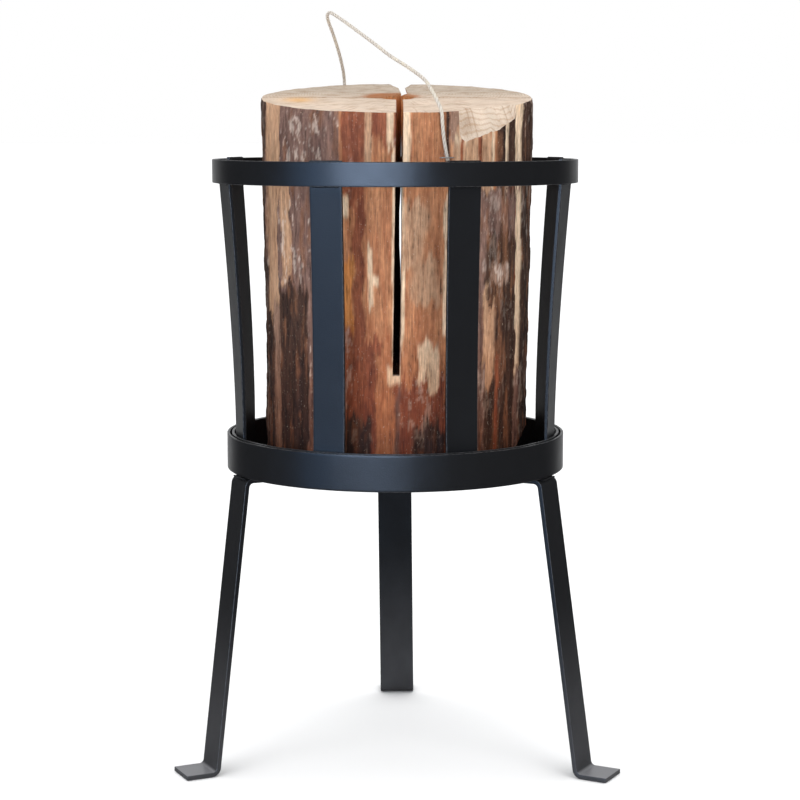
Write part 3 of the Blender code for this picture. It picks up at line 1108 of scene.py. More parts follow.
@dataclass
class Basket(Steelwork):
    """Two hoops joined by eight bowed slats, with a round floor plate."""

    hoop_wall: float = 2.5 * MM
    top_wall: float = 3.0 * MM
    slat_wide: float = 28.4 * MM
    slat_thick: float = 3.0 * MM
    slat_proud: float = 1.0 * MM
    slat_gap: float = 0.3 * MM
    bow: float = 1.5
    slat_rows: int = 72
    stand_rise: float = 0.4 * MM
    tack_radius: float = 0.8 * MM
    tack_share: float = 0.42
    plate_rings: int = 13
    slat_turns: Mapping[str, tuple[float, float]] = field(default_factory=lambda: {
        "front_left": (-23.0, -21.3), "left_front": (-73.0, -69.0),
        "left_rear": (-107.5, -111.0), "rear_left": (-157.0, -158.7),
        "front_right": (23.0, 21.3), "right_front": (73.0, 69.0),
        "right_rear": (107.5, 111.0), "rear_right": (157.0, 158.7)})

    def build(self) -> None:
        """Make the hoops, the plate, the slats and their tack welds."""
        self.hoop("painted_basket_ring", "basket_ring", self.hoop_wall, Body.BASKET)
        self.hoop("painted_top_ring", "top_ring", self.top_wall, Body.BASKET)
        self.build_plate()
        for name, turns in self.slat_turns.items():
            self.build_slat(name, turns)

    def build_plate(self) -> None:
        """The round floor plate: its outline, rounded at the rim, turned about the axis."""
        low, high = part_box("floor_plate")
        radius, edge = (high.x - low.x) / 2, self.edge
        turn = np.linspace(0.0, math.pi / 2, 4)
        inner = np.linspace(0.0, radius - edge, self.plate_rings, endpoint=False)
        arc = edge * circle(turn)
        top = np.stack([inner, np.full_like(inner, high.z)], axis=-1)
        over = [radius - edge, high.z - edge] + arc[:, ::-1]
        under = [radius - edge, low.z + edge] + arc * [1, -1]
        base = np.stack([inner[::-1], np.full_like(inner, low.z)], axis=-1)
        line = np.concatenate([top, over, under, base])
        turns = full_turn(180)
        points = around(turns[None, :], line[:, :1], line[:, 1:])
        rub = np.pad(np.full(2 * len(turn), 0.8), self.plate_rings)
        skin = Skin()
        skin.add(points, grid_faces(len(line), len(turns), False, True), rub=rub[:, None])
        self.finished(skin, "painted_floor_plate", "floor_plate", Body.BASKET)

    def seat(self, node: str, wall: float) -> float:
        """How far out a flat slat's outer face can stand inside a hoop."""
        low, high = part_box(node)
        inner = (high.x - low.x) / 2 - wall
        return math.sqrt(inner**2 - (self.slat_wide / 2) ** 2) - self.slat_gap

    def build_slat(self, name: str, turns: tuple[float, float]) -> None:
        """One slat: upright in the basket ring, then bowed out to the top ring.

        Its outer face runs from the lower seat to the upper one by a power, the bow, of
        its height above the basket ring.

        Args:
            name: Which slat.
            turns: Its angles from the front at the foot and at the top, in degrees.
        """
        low_seat = self.seat("basket_ring", self.hoop_wall)
        high_seat = self.seat("top_ring", self.top_wall)
        ring_low, ring_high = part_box("top_ring")
        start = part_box("basket_ring")[1].z - self.stand_rise
        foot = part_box("floor_plate")[1].z + self.slat_gap
        height = np.linspace(foot, ring_high.z + self.slat_proud, self.slat_rows)
        share = np.clip((height - start) / (ring_low.z - start), 0.0, 1.0)
        face = low_seat + (high_seat - low_seat) * share**self.bow
        turn = np.radians(turns[0] + (turns[1] - turns[0]) * share)
        middles = around(turn, face - self.slat_thick / 2, height)
        self.bar(f"painted_slat_{name}", f"slat_{name}", middles, sideways(turn), self.slat_wide,
                 self.slat_thick, Body.BASKET)
        self.build_tacks(name, turn[-1], high_seat, ring_low.z)

    def build_tacks(self, name: str, turn: float, seat: float, height: float) -> None:
        """A bead under the top ring, across the slat's outer face.

        Args:
            name: Which slat.
            turn: Its angle from the front at the top, in radians.
            seat: How far out its outer face stands.
            height: The lower edge of the top ring.
        """
        run = np.linspace(-self.tack_share, self.tack_share, 60)[:, None] * self.slat_wide
        middle = around(turn, seat + 0.5 * self.tack_radius, height - 0.3 * self.tack_radius)
        points = middle + sideways(turn) * run
        self.bead(f"tack_bead_{name}", points, self.tack_radius, Body.BASKET)


# -------------------------------------------------------------------------------- log


class Shade(Enum):
    """What shows on the side of the log: two colours that its grain wanders between."""

    FLAKY = (srgb(66, 46, 44), srgb(144, 114, 102))
    DARK = (srgb(36, 25, 21), srgb(84, 61, 50))
    RED = (srgb(98, 50, 36), srgb(158, 96, 68))
    ORANGE = (srgb(140, 82, 54), srgb(194, 140, 102))
    AMBER = (srgb(158, 92, 46), srgb(206, 142, 86))
    TAN = (srgb(154, 112, 84), srgb(198, 162, 132))
    PALE = (srgb(202, 170, 138), srgb(232, 210, 184))
    ASH = (srgb(118, 88, 74), srgb(158, 128, 110))


@dataclass(frozen=True)
class Band:
    """An upright strip of the log's side, between two angles and two heights.

    Angles are degrees from the front, towards the right; heights are millimetres above
    the floor; relief is how far it stands out, in millimetres.
    """

    left: float
    right: float
    low: float
    high: float
    shade: Shade
    relief: float = 0.0
    wander: float = 1.6
    soft: float = 0.7
    flecks: float = 0.0


@dataclass(frozen=True)
class Bark:
    """The side of the log: its relief and its colours, from a list of bands."""

    bands: tuple[Band, ...] = (
        Band(-92, -24, 250, 620, Shade.FLAKY, 1.3, flecks=0.5),
        Band(-96, -60, 250, 440, Shade.DARK, 1.0, 1.4, flecks=0.2),
        Band(-96, -73, 380, 620, Shade.DARK, 0.2, flecks=0.1),
        Band(-73, -57, 505, 620, Shade.TAN, -0.7, 1.0),
        Band(-72, -61, 400, 520, Shade.TAN, -0.5, 1.5),
        Band(-66, -57.5, 255, 410, Shade.ASH, 0.6, 1.2),
        Band(-58, -50, 430, 520, Shade.TAN, 0.2, 2.4, flecks=0.6),
        Band(-60, -40, 250, 425, Shade.DARK, 0.9),
        Band(-24, -1, 250, 620, Shade.ORANGE, 0.0, 0.6),
        Band(-23, -13, 500, 620, Shade.RED, 0.5, 1.2, flecks=0.25),
        Band(-18, -13.6, 300, 500, Shade.RED, 0.25, 1.5),
        Band(-13.2, -10.2, 520, 620, Shade.TAN, -0.4, 0.5),
        Band(-10.2, -3.5, 546, 620, Shade.RED, 0.7, 0.9),
        Band(-25, -18.5, 380, 445, Shade.AMBER, 0.1, 1.6),
        Band(-11.5, -9.8, 411, 462, Shade.PALE, -0.3, 0.7),
        Band(-10.8, -7.6, 428, 436, Shade.PALE, -0.3, 0.9),
        Band(-25, -20.5, 484, 501, Shade.PALE, -0.3, 1.0),
        Band(-24, -6, 250, 385, Shade.RED, 0.5, 2.4, 2.0, 0.25),
        Band(-24, -12, 250, 318, Shade.DARK, 0.9, 2.6, 2.2, 0.2),
        Band(-9, -1, 250, 372, Shade.ORANGE, 0.0, 1.8, 1.8),
        Band(-4, 1.5, 346, 362, Shade.PALE, -0.2, 0.8, 0.8),
        Band(-3.4, -0.9, 540, 620, Shade.PALE, -0.6, 0.9),
        Band(-2.0, -0.8, 360, 545, Shade.PALE, -0.2, 0.4, 0.4),
        Band(1.9, 22, 250, 620, Shade.ORANGE, 0.0, 0.6),
        Band(1.9, 5.4, 520, 620, Shade.PALE, -0.5, 0.7),
        Band(1.9, 3.2, 380, 520, Shade.PALE, -0.2, 0.9, 0.5),
        Band(6, 17.5, 408, 449, Shade.TAN, 0.3, 2.2, 5.0),
        Band(3, 12, 440, 500, Shade.TAN, 0.1, 2.0, 4.0),
        Band(4, 20, 376, 412, Shade.ORANGE, 0.1, 2.4, 2.0),
        Band(8.5, 17.5, 338, 379, Shade.PALE, -0.2, 3.2, 0.9),
        Band(13.5, 16, 300, 345, Shade.PALE, -0.1, 1.6, 0.7),
        Band(2, 22, 250, 345, Shade.RED, 0.4, 2.4, 2.2, 0.3),
        Band(6, 22, 250, 312, Shade.DARK, 0.8, 2.4, 2.2, 0.2),
        Band(19.8, 21.6, 380, 500, Shade.PALE, -0.1, 0.6, 0.5),
        Band(20.2, 21.8, 520, 620, Shade.DARK, 0.1, 0.4, 0.4),
        Band(22, 48, 505, 620, Shade.ORANGE, 0.0, 0.8, flecks=0.1),
        Band(24, 43, 500, 556, Shade.TAN, 0.0, 1.4, 1.6, 0.1),
        Band(22, 29, 552, 620, Shade.ASH, 0.2, 0.8),
        Band(24.2, 30, 545, 552, Shade.PALE, -0.3, 0.8),
        Band(27, 28.4, 500, 552, Shade.RED, 0.2, 1.0, 0.5),
        Band(36, 37.6, 500, 556, Shade.RED, 0.2, 1.0, 0.5),
        Band(43, 44.4, 500, 560, Shade.PALE, -0.2, 0.8, 0.5),
        Band(22, 61, 250, 507, Shade.FLAKY, 0.9, 1.4, flecks=0.25),
        Band(40, 61, 250, 468, Shade.DARK, 0.9, 1.8, flecks=0.12),
        Band(43, 55, 428, 444, Shade.ASH, 0.5, 2.0, 1.6, 0.5),
        Band(40.8, 45.5, 340, 408, Shade.TAN, 0.2, 1.0, 0.8),
        Band(46.6, 48.6, 250, 360, Shade.RED, 0.3, 0.6, 0.5),
        Band(39, 41.5, 365, 425, Shade.TAN, 0.0, 0.8, 0.6),
        Band(46, 51.5, 505, 620, Shade.DARK, 0.9, 0.8, 0.6),
        Band(51.5, 53.8, 505, 620, Shade.PALE, -0.4, 0.5, 0.5),
        Band(53.8, 59, 505, 620, Shade.DARK, 0.8, 0.6, 0.6),
        Band(59, 66.5, 505, 620, Shade.PALE, -0.8, 0.9, 0.8),
        Band(61.5, 68, 348, 508, Shade.PALE, -0.8, 1.0, 0.6),
        Band(66.5, 92, 250, 620, Shade.DARK, 0.8, 1.0, flecks=0.25),
    )
    ragged: float = 15.0
    terraces: tuple[float, ...] = (-0.35, -0.02, 0.3)
    terrace_height: float = 0.62
    wave_height: float = 0.9
    thin_bark: Colour = srgb(138, 94, 68)
    fleck: Colour = srgb(212, 196, 184)
    # Painted shade of the hoops and basket round the log: the side darkens from the upper height down
    # to the lower one, losing the listed share of red, green and blue.
    painted_shade_high: float = 430.0 * MM
    painted_shade_low: float = 300.0 * MM
    painted_shade: Colour = (0.22, 0.40, 0.50)

    def mask(self, band: Band, turn: np.ndarray, points: np.ndarray) -> np.ndarray:
        """How much of a band shows: inside its wandering sides and its ragged ends.

        Args:
            band: The band.
            turn: Angles from the front, in degrees.
            points: The points on the plain log.

        Returns:
            A share from 0 to 1 for each point.
        """
        seed = int(band.left * 7 + band.low) % 97 + 101
        bend = grain(points, 0.030, 0.022, seed, 3) * band.wander
        sides = smoothstep(np.minimum(turn + bend - band.left, band.right - turn - bend),
                           -band.soft / 2, band.soft / 2)
        reach = min(self.ragged, (band.high - band.low) / 4)
        height = points[..., 2] / MM + grain(points, 0.0032, 0.060, seed + 5, 3) * reach
        ends = smoothstep(np.minimum(height - band.low, band.high - height), -3.0, 3.0)
        return sides * ends

    def relief(self, turn: np.ndarray, points: np.ndarray) -> np.ndarray:
        """How far the side stands out from the plain log, in metres.

        Flaky bark is terraced: noise cut into three thin layers.  Fibres and shallow
        waves lie over everything.

        Args:
            turn: Angles from the front, in radians.
            points: The points on the plain log.

        Returns:
            The distance for each point.
        """
        degrees = self.degrees(turn)
        layers = grain(points, 0.011, 0.034, 61, 3)
        terraces = sum(smoothstep(layers, cut, cut + 0.07) for cut in self.terraces)
        level = np.full(degrees.shape, 0.9)
        rough = np.ones(degrees.shape)
        for band in self.bands:
            share = self.mask(band, degrees, points)
            level += (band.relief - level) * share
            rough += (float(band.shade in (Shade.FLAKY, Shade.DARK)) - rough) * share
        fibres = grain(points, 0.0022, 0.026, 71, 2) * (0.10 + 0.18 * rough)
        waves = grain(points, 0.040, 0.120, 73, 2) * self.wave_height
        return (level + (terraces - 1.4) * self.terrace_height * rough + fibres + waves) * MM

    def paint(self, turn: np.ndarray, points: np.ndarray) -> np.ndarray:
        """The colour of each point on the side, with painted shade darkening it towards the bottom.

        Args:
            turn: Angles from the front, in radians.
            points: The points on the side.

        Returns:
            Linear colours of shape (..., 3).
        """
        degrees = self.degrees(turn)
        vary = grain(points, 0.0040, 0.045, 81, 3) * 0.5 + 0.5
        fine = grain(points, 0.0017, 0.012, 85, 2) * 0.5 + 0.5
        blend = np.clip(0.65 * vary + 0.45 * fine - 0.05, 0.0, 1.0)[..., None]
        patches = grain(points, 0.016, 0.070, 87, 3)
        colour = self.tone(Shade.FLAKY, blend)
        colour = toward(colour, self.tone(Shade.RED, blend), smoothstep(patches, 0.1, 0.3))
        colour = toward(colour, self.tone(Shade.TAN, blend), smoothstep(patches, 0.55, 0.62))
        thin = smoothstep(grain(points, 0.0055, 0.030, 99, 3), 0.05, 0.5)
        drips = grain(points, 0.0030, 0.013, 91, 3) + 0.4 * grain(points, 0.022, 0.034, 95, 1)
        fleck = smoothstep(drips + 0.35 * grain(points, 0.0016, 0.0028, 97, 1), 0.40, 0.78)
        amount = np.full(degrees.shape, 0.35)
        for band in self.bands:
            share = self.mask(band, degrees, points)
            tone = self.tone(band.shade, blend)
            if band.shade in (Shade.FLAKY, Shade.DARK):
                tone = toward(tone, self.thin_bark, 0.5 * thin)
            colour = toward(colour, tone, share)
            amount += (band.flecks - amount) * share
        colour = toward(colour, self.fleck, fleck * amount)
        # Painted shade: the side is darker towards the bottom, where the hoops and basket round it
        # shade it.
        painted_shade = smoothstep(-points[..., 2], -self.painted_shade_high, -self.painted_shade_low)[..., None]
        return colour * (1.0 - painted_shade * np.array(self.painted_shade))

    def tone(self, shade: Shade, blend: np.ndarray) -> np.ndarray:
        """The shade's darker colour turning into its lighter one."""
        dark, light = (np.array(colour) for colour in shade.value)
        return dark + (light - dark) * blend

    def degrees(self, turn: np.ndarray) -> np.ndarray:
        """Angles from -180 to 180 degrees."""
        return (np.degrees(turn) + 180.0) % 360.0 - 180.0


@dataclass(frozen=True)
class SawnTones:
    """Colours of the sawn faces: the top, its stains, the slot walls, the painted shade deep in the
    slots, and the base.
    """

    cream: Colour = srgb(215, 198, 181)
    grey: Colour = srgb(186, 173, 158)
    resin: Colour = srgb(222, 172, 104)
    heart: Colour = srgb(168, 110, 68)
    wall: Colour = srgb(222, 156, 104)
    # Painted shade: the colour the slot walls darken to deep down the narrow slots.
    deep: Colour = srgb(116, 72, 48)
    base: Colour = srgb(150, 120, 92)


@dataclass
class SawnLog:
    """The log: bark outside, two crossing saw slots, a flue, and broken corners."""

    axis: Vector
    bark: Bark = field(default_factory=Bark)
    tones: SawnTones = field(default_factory=SawnTones)
    shift: float = 1.2 * MM
    base_radius: float = 113.6 * MM
    taper: float = 0.013
    length: float = 322.8 * MM
    slant: float = 0.117
    foot_round: float = 5.0 * MM
    rim_fade: float = 5.0 * MM
    rim_relief: float = 0.4
    corner_reach: float = 97.0 * MM
    corner_from: float = 10.6 * MM
    corner_lean: float = 0.795
    slot_half: float = 3.0 * MM
    slot_side: float = 2.3 * MM
    slot_depth: float = 232.2 * MM
    slot_lean: float = 0.0144
    flue_radius: float = 15.0 * MM
    flue_below: float = 4.0 * MM
    notch_half: float = 9.5 * MM
    notch_depth: float = 8.0 * MM
    notch_reach: float = 34.0 * MM
    break_slope: float = 1.9
    break_line: tuple[tuple[float, float], ...] = (
        (-180.0, 90.0), (24.5, 90.0), (26.5, -36.0), (29.0, -37.5), (38.0, -33.0),
        (46.0, -28.0), (58.5, -19.0), (62.0, 20.0), (180.0, 90.0))
    rear_drift: tuple[tuple[float, float], ...] = (
        (-5.0, 0.0), (0.0, 5.6), (80.0, 5.6), (98.0, 4.6), (132.0, 4.6), (150.0, 5.8),
        (205.0, 6.2), (236.0, 6.2), (243.0, 3.2), (260.0, 3.0))
    front_columns: int = 132
    rear_columns: int = 74
    rows: int = 112
    foot_rows: int = 46
    wall_columns: int = 13
    flue_columns: int = 9
    gap_columns: int = 4

    def __post_init__(self) -> None:
        """Work out the heights from the CAD log's own."""
        self.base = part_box("log")[0].z
        self.top_middle = self.base + self.length
        self.floor = self.top_middle - self.slot_depth
        self.top_radius = self.base_radius + self.taper * self.length

    def plain(self, turn: np.ndarray, height: np.ndarray) -> np.ndarray:
        """Points on the smooth tapered log."""
        points = around(turn, self.base_radius + self.taper * (height - self.base), height)
        points[..., 0] += self.shift
        return points

    def side(self, turn: np.ndarray, height: np.ndarray) -> np.ndarray:
        """Points on the bark: the tapered log plus relief, rounded and broken at the foot.

        The broken corner is a plane leaning outwards: the further down, the less far
        right the log reaches there.  Just under the sawn top the relief fades to a share
        of itself, so that the rim has no folds.

        Args:
            turn: Angles from the front, in radians.
            height: Heights above the floor.

        Returns:
            The points.
        """
        turn, height = np.broadcast_arrays(turn, height)
        radius = self.base_radius + self.taper * (height - self.base)
        plain = self.plain(turn, height)
        depth = self.top(plain[..., 0], plain[..., 1]) - height
        kept = self.rim_relief + (1.0 - self.rim_relief) * smoothstep(depth, 0.0, self.rim_fade)
        radius = radius + self.bark.relief(turn, plain) * kept
        missing = np.clip(self.foot_round - (height - self.base), 0.0, self.foot_round)
        radius = radius - (self.foot_round - np.sqrt(self.foot_round**2 - missing**2)) * 0.8
        above = height - (self.base + self.corner_from)
        reach = self.corner_reach - self.shift + above * self.corner_lean
        reach = reach + grain(plain, 0.006, 0.010, 151) * 0.8 * MM
        limit = reach / np.maximum(np.sin(turn), 0.2)
        radius = np.where(np.sin(turn) > 0.3, np.minimum(radius, limit), radius)
        points = around(turn, radius, height)
        points[..., 0] += self.shift
        return points

    def top(self, x: np.ndarray, y: np.ndarray) -> np.ndarray:
        """The height of the sawn top: a slant, less the rear notch and the broken corner.

        The notch is a V that narrows and rises inwards from the rear rim.  The broken
        corner is a steep face that rises inwards from a jagged line round the rim.

        Args:
            x: Across, from the hoops' axis.
            y: Depth, towards the rear.

        Returns:
            The heights.
        """
        spots = np.stack([x, y, np.zeros_like(x)], axis=-1)
        level = self.top_middle + self.slant * y + grain(spots, 0.014, 1.0, 111, 3) * 0.35 * MM
        share = np.clip((y - (self.top_radius - self.notch_reach)) / self.notch_reach, 0.0, 1.1)
        half = self.slot_half + (self.notch_half - self.slot_half) * share
        off = (np.abs(x - self.slot_side) - self.slot_half) / np.maximum(half - self.slot_half, 1e-6)
        level = level - self.notch_depth * share * np.clip(1.0 - off, 0.0, 1.0)
        turn = np.degrees(np.arctan2(x - self.shift, -y))
        edge = np.interp(turn, *zip(*self.break_line)) * MM
        torn = grain(spots, 0.004, 1.0, 117, 3) * 1.0 * MM
        away = np.hypot(x - self.shift, y)
        broken = self.top_middle + edge + torn + (self.top_radius - away) * self.break_slope
        return np.minimum(level, broken)

    def corner_turns(self) -> list[tuple[float, float]]:
        """The angles where each quarter's bark starts and ends, in order from the front."""
        across = math.asin((self.slot_side - self.shift) / self.top_radius)
        half = math.asin(self.slot_half / self.top_radius)
        slots = [across, math.pi / 2, math.pi - across, 1.5 * math.pi, 2 * math.pi + across]
        return [(start + half, end - half) for start, end in zip(slots, slots[1:])]

    def column(self, x: np.ndarray, y: np.ndarray, share: np.ndarray) -> np.ndarray:
        """Upright columns from the slot floor to the top, at shares of their height."""
        height = self.floor + share[:, None] * (self.top(x, y) - self.floor)[None, :]
        flat = np.broadcast_to(np.stack([x, y], axis=-1), (len(share), len(x), 2))
        return np.concatenate([flat, height[..., None]], axis=-1)

    def flue_point(self, turn: float) -> np.ndarray:
        """Where the slot wall at a bark corner's angle meets the flue, seen from above."""
        straight = round(turn / (math.pi / 2)) * math.pi / 2
        sign = 1.0 if turn > straight else -1.0
        off = math.asin(self.slot_half / self.flue_radius)
        at = straight + sign * off
        return np.array([self.slot_side + self.flue_radius * math.sin(at),
                         -self.flue_radius * math.cos(at), at])

    def flue_turns(self, start: float, end: float, count: int) -> np.ndarray:
        """Even angles round the flue, between the walls that two bark angles belong to."""
        return np.linspace(self.flue_point(start)[2], self.flue_point(end)[2], count)

    def quarter(self, skin: Skin, start: float,
                end: float) -> tuple[np.ndarray, np.ndarray, np.ndarray]:
        """One upright quarter of the log, above the slot floor.

        Its outline runs along the bark, in along one slot wall, round the flue and out
        along the other wall; rows of it rise to the top, which closes in shrinking rings.

        Args:
            skin: Where the surfaces are added.
            start: The angle where its bark starts.
            end: The angle where its bark ends.

        Returns:
            The lowest rows of the bark, of the wall at the end and of the one at the start,
            each wall from the flue to the rim.
        """
        front = math.cos((start + end) / 2) > 0
        turns = np.linspace(start, end, self.front_columns if front else self.rear_columns)
        share = np.linspace(0.0, 1.0, self.rows)
        guess = self.plain(turns, self.top_middle - self.slant * self.top_radius * np.cos(turns))
        ceiling = self.top(guess[..., 0], guess[..., 1])
        height = self.floor + share[:, None] * (ceiling - self.floor)[None, :]
        bark = self.side(np.broadcast_to(turns, height.shape), height)
        walls = []
        inward = np.linspace(0.0, 1.0, self.wall_columns)
        for turn, edge in ((end, bark[:, -1]), (start, bark[:, 0])):
            foot = self.flue_point(turn)
            inner = self.column(foot[:1], foot[1:2], share)[:, 0]
            wall = inner[:, None] + (edge - inner)[:, None] * inward[None, :, None]
            dip = self.top(wall[-1, :, 0], wall[-1, :, 1]) - wall[-1, :, 2]
            dip[[0, -1]] = 0.0
            wall[..., 2] += share[:, None] * dip[None, :]
            walls.append(wall)
        sweep = self.flue_turns(end, start, self.flue_columns)
        flue = self.column(self.slot_side + self.flue_radius * np.sin(sweep),
                           -self.flue_radius * np.cos(sweep), share)
        loop = np.concatenate([bark, walls[0][:, -2:0:-1], flue, walls[1][:, 1:-1]], axis=1)
        count = loop.shape[1]
        kinds = np.ones((len(share) - 1, count), int)
        kinds[:, : len(turns) - 1] = 0
        skin.add(loop, grid_faces(len(share), count, False, True), kinds.reshape(-1))
        self.close_top(skin, loop[-1])
        return bark[0], walls[0][0], walls[1][0]

    def close_top(self, skin: Skin, rim: np.ndarray) -> None:
        """Close a quarter with rings that shrink from its rim to its middle."""
        middle = rim[:, :2].mean(axis=0)
        sizes = np.array([1.0, 0.985, 0.965, 0.94, 0.91, 0.87, 0.82, 0.76, 0.68, 0.58, 0.46,
                          0.32, 0.16, 0.0])
        flat = middle + (rim[None, :, :2] - middle) * sizes[:, None, None]
        height = self.top(flat[..., 0], flat[..., 1])
        height[0] = rim[:, 2]
        points = np.concatenate([flat, height[..., None]], axis=-1)
        skin.add(points, grid_faces(len(sizes), len(rim), False, True), 1)

    def build(self) -> bpy.types.Object:
        """Make the whole log as one closed mesh.

        Returns:
            The new piece.
        """
        skin = Skin()
        corners = self.corner_turns()
        lows = [self.quarter(skin, start, end) for start, end in corners]
        rim, well = [], []
        for number, (start, end) in enumerate(corners):
            following = corners[(number + 1) % 4]
            ahead = following[0] + (2 * math.pi if number == 3 else 0.0)
            gap = np.linspace(end, ahead, self.gap_columns)
            rim += [np.linspace(start, end, len(lows[number][0])), gap[1:-1]]
            wall, facing = lows[number][1], lows[(number + 1) % 4][2]
            share = np.linspace(0, 1, self.gap_columns)[None, :, None]
            bridge = wall[:, None] + (facing - wall)[:, None] * share
            bridge[-1] = self.side(gap, np.full(self.gap_columns, self.floor))
            inner = self.flue_turns(end, ahead, self.gap_columns)
            bridge[0, :, 0] = self.slot_side + self.flue_radius * np.sin(inner)
            bridge[0, :, 1] = -self.flue_radius * np.cos(inner)
            skin.add(bridge, grid_faces(len(wall), self.gap_columns, False, False), 1)
            well += [self.flue_turns(end, start, self.flue_columns)[::-1], inner[1:-1]]
        self.close_flue(skin, np.concatenate(well))
        self.close_foot(skin, np.concatenate(rim))
        for points in skin.points:
            points[:, 0] += self.wander(points)
        finishes = [BarkFinish().make(), SawnFinish().make()]
        piece = skin.mesh("sawn_log", self.axis, finishes, [self.paint_bark, self.paint_sawn])
        return tie(piece, Body.FIREWOOD, "log")

    def wander(self, points: np.ndarray) -> np.ndarray:
        """How far the long slot's cut strays sideways: it leans in front and drifts behind.

        Args:
            points: Points on the log.

        Returns:
            The sideways shift of each, fading out away from the slot.
        """
        near = np.exp(-(((points[:, 0] - self.slot_side) / (25 * MM)) ** 2))
        front = smoothstep(-points[:, 1], 0.0, 25 * MM)
        rear = smoothstep(points[:, 1], self.flue_radius, self.flue_radius + 22 * MM)
        above = (points[:, 2] - self.floor) / MM
        drift = np.interp(above, *zip(*self.rear_drift)) * MM
        lean = self.slot_lean * (points[:, 2] - (self.floor + self.top_middle) / 2)
        return near * (lean * front + drift * rear)

    def close_flue(self, skin: Skin, turns: np.ndarray) -> None:
        """The flue's well below the slot floor: its wall, then rings to the middle."""
        sizes = np.array([1.0, 1.0, 0.66, 0.33, 0.0])[:, None] * self.flue_radius
        drops = np.array([0.0, 1.0, 1.05, 1.0, 1.0])[:, None] * self.flue_below
        points = around(turns[None, :], sizes, self.floor - drops)
        points[..., 0] += self.slot_side
        skin.add(points, grid_faces(len(sizes), len(turns), False, True), 1)

    def close_foot(self, skin: Skin, turns: np.ndarray) -> None:
        """The solid lower log: bark up to the slot floor, and the sawn base."""
        height = np.linspace(self.base, self.floor, self.foot_rows)[:, None]
        bark = self.side(turns[None, :], height)
        skin.add(bark, grid_faces(len(height), len(turns), False, True), 0)
        sizes = np.array([1.0, 0.97, 0.85, 0.6, 0.3, 0.0])
        middle = np.array([self.shift, 0.0, self.base])
        base = middle + (bark[0] - middle)[None] * sizes[:, None, None]
        skin.add(base, grid_faces(len(sizes), len(turns), False, True), 1)

    def paint_bark(self, points: np.ndarray) -> np.ndarray:
        """Colours of the side, by angle and height."""
        turn = np.arctan2(points[:, 0] - self.shift, -points[:, 1])
        return self.bark.paint(turn, points)

    def paint_sawn(self, points: np.ndarray) -> np.ndarray:
        """Colours of the sawn faces: pale on top, browner down the slots, and darker deeper in them as
        painted shade.

        Args:
            points: Points on the top, the walls, the flue, the floor and the base.

        Returns:
            Linear colours.
        """
        x, y, z = points.T
        tones = self.tones
        deep = np.clip(self.top(x, y) - z, 0.0, None)
        away = np.hypot(x - self.shift, y)
        rear = smoothstep(y, -40 * MM, 60 * MM)
        colour = toward(np.array(tones.cream), tones.grey, rear)
        colour = colour * (1.0 + 0.10 * grain(points, 0.012, 0.030, 131, 3)[:, None])
        resin = np.exp(-(((x + 84 * MM) / (13 * MM)) ** 2) - ((y + 20 * MM) / (22 * MM)) ** 2)
        colour = toward(colour, tones.resin, resin * 0.8)
        heart = np.exp(-(((x + 4 * MM) / (25 * MM)) ** 2) - ((y - 14 * MM) / (24 * MM)) ** 2)
        heart = smoothstep(heart + 0.15 * grain(points, 0.010, 0.030, 137, 3), 0.25, 0.55)
        colour = toward(colour, tones.heart, heart * 0.95)
        sapwood = smoothstep(away, 100 * MM, 108 * MM)
        wall = smoothstep(deep, 0.6 * MM, 3.0 * MM) * (1.0 - 0.8 * sapwood)
        # Painted shade: the walls darken from 16 mm to 85 mm below the top, deep in the narrow slots.
        slot = toward(np.array(tones.wall), tones.deep, smoothstep(deep, 16 * MM, 85 * MM))
        colour = toward(colour, slot, wall)
        heel = smoothstep(self.base + 1.0 * MM - z, 0.0, 0.5 * MM)
        return toward(colour, tones.base, heel)


# ------------------------------------------------------------------------------ twine

# The twine's route over the log, from the front staple to the rear one, in metres
# across from the hoops' axis and up from the floor.
TWINE_ROUTE = (
    (0.0435, -0.1113, 0.5312),
    (0.0421, -0.1119, 0.5380),
    (0.0402, -0.1128, 0.5490),
    (0.0389, -0.1134, 0.5620),
    (0.0383, -0.1140, 0.5705),
    (0.0356, -0.1106, 0.5782),
    (0.0296, -0.1010, 0.5900),
    (0.0242, -0.0850, 0.5982),
    (0.0126, -0.0650, 0.6076),
    (-0.0044, -0.0400, 0.6191),
    (-0.0168, -0.0250, 0.6290),
    (-0.0302, -0.0080, 0.6394),
    (-0.0412, 0.0050, 0.6478),
    (-0.0516, 0.0200, 0.6554),
    (-0.0576, 0.0300, 0.6590),
    (-0.0603, 0.0380, 0.6569),
    (-0.0594, 0.0470, 0.6514),
    (-0.0560, 0.0600, 0.6418),
    (-0.0514, 0.0800, 0.6264),
    (-0.0484, 0.0950, 0.6130),
    (-0.0472, 0.1076, 0.6032),
    (-0.0469, 0.1103, 0.5940),
    (-0.0467, 0.1098, 0.5800),
    (-0.0462, 0.1097, 0.5640),
    (-0.0455, 0.1096, 0.5470),
)


def smooth_line(route: np.ndarray, spacing: float) -> np.ndarray:
    """Even points on a Catmull-Rom curve through the route points.

    Args:
        route: The points the curve passes through.
        spacing: The distance between the points returned.

    Returns:
        The points.
    """
    ends = np.concatenate([[2 * route[0] - route[1]], route, [2 * route[-1] - route[-2]]])
    a, b, c, d = (ends[k:len(ends) - 3 + k, None] for k in range(4))
    t = np.linspace(0.0, 1.0, 24, endpoint=False)[None, :, None]
    curve = 0.5 * (2 * b + (c - a) * t + (2 * a - 5 * b + 4 * c - d) * t**2
                   + (3 * b - a - 3 * c + d) * t**3)
    dense = np.concatenate([curve.reshape(-1, 3), route[-1:]])
    run = np.concatenate([[0.0], np.cumsum(np.linalg.norm(np.diff(dense, axis=0), axis=1))])
    count = int(round(run[-1] / spacing)) + 1
    at = np.linspace(0.0, run[-1], count)
    return np.stack([np.interp(at, run, dense[:, k]) for k in range(3)], axis=-1)


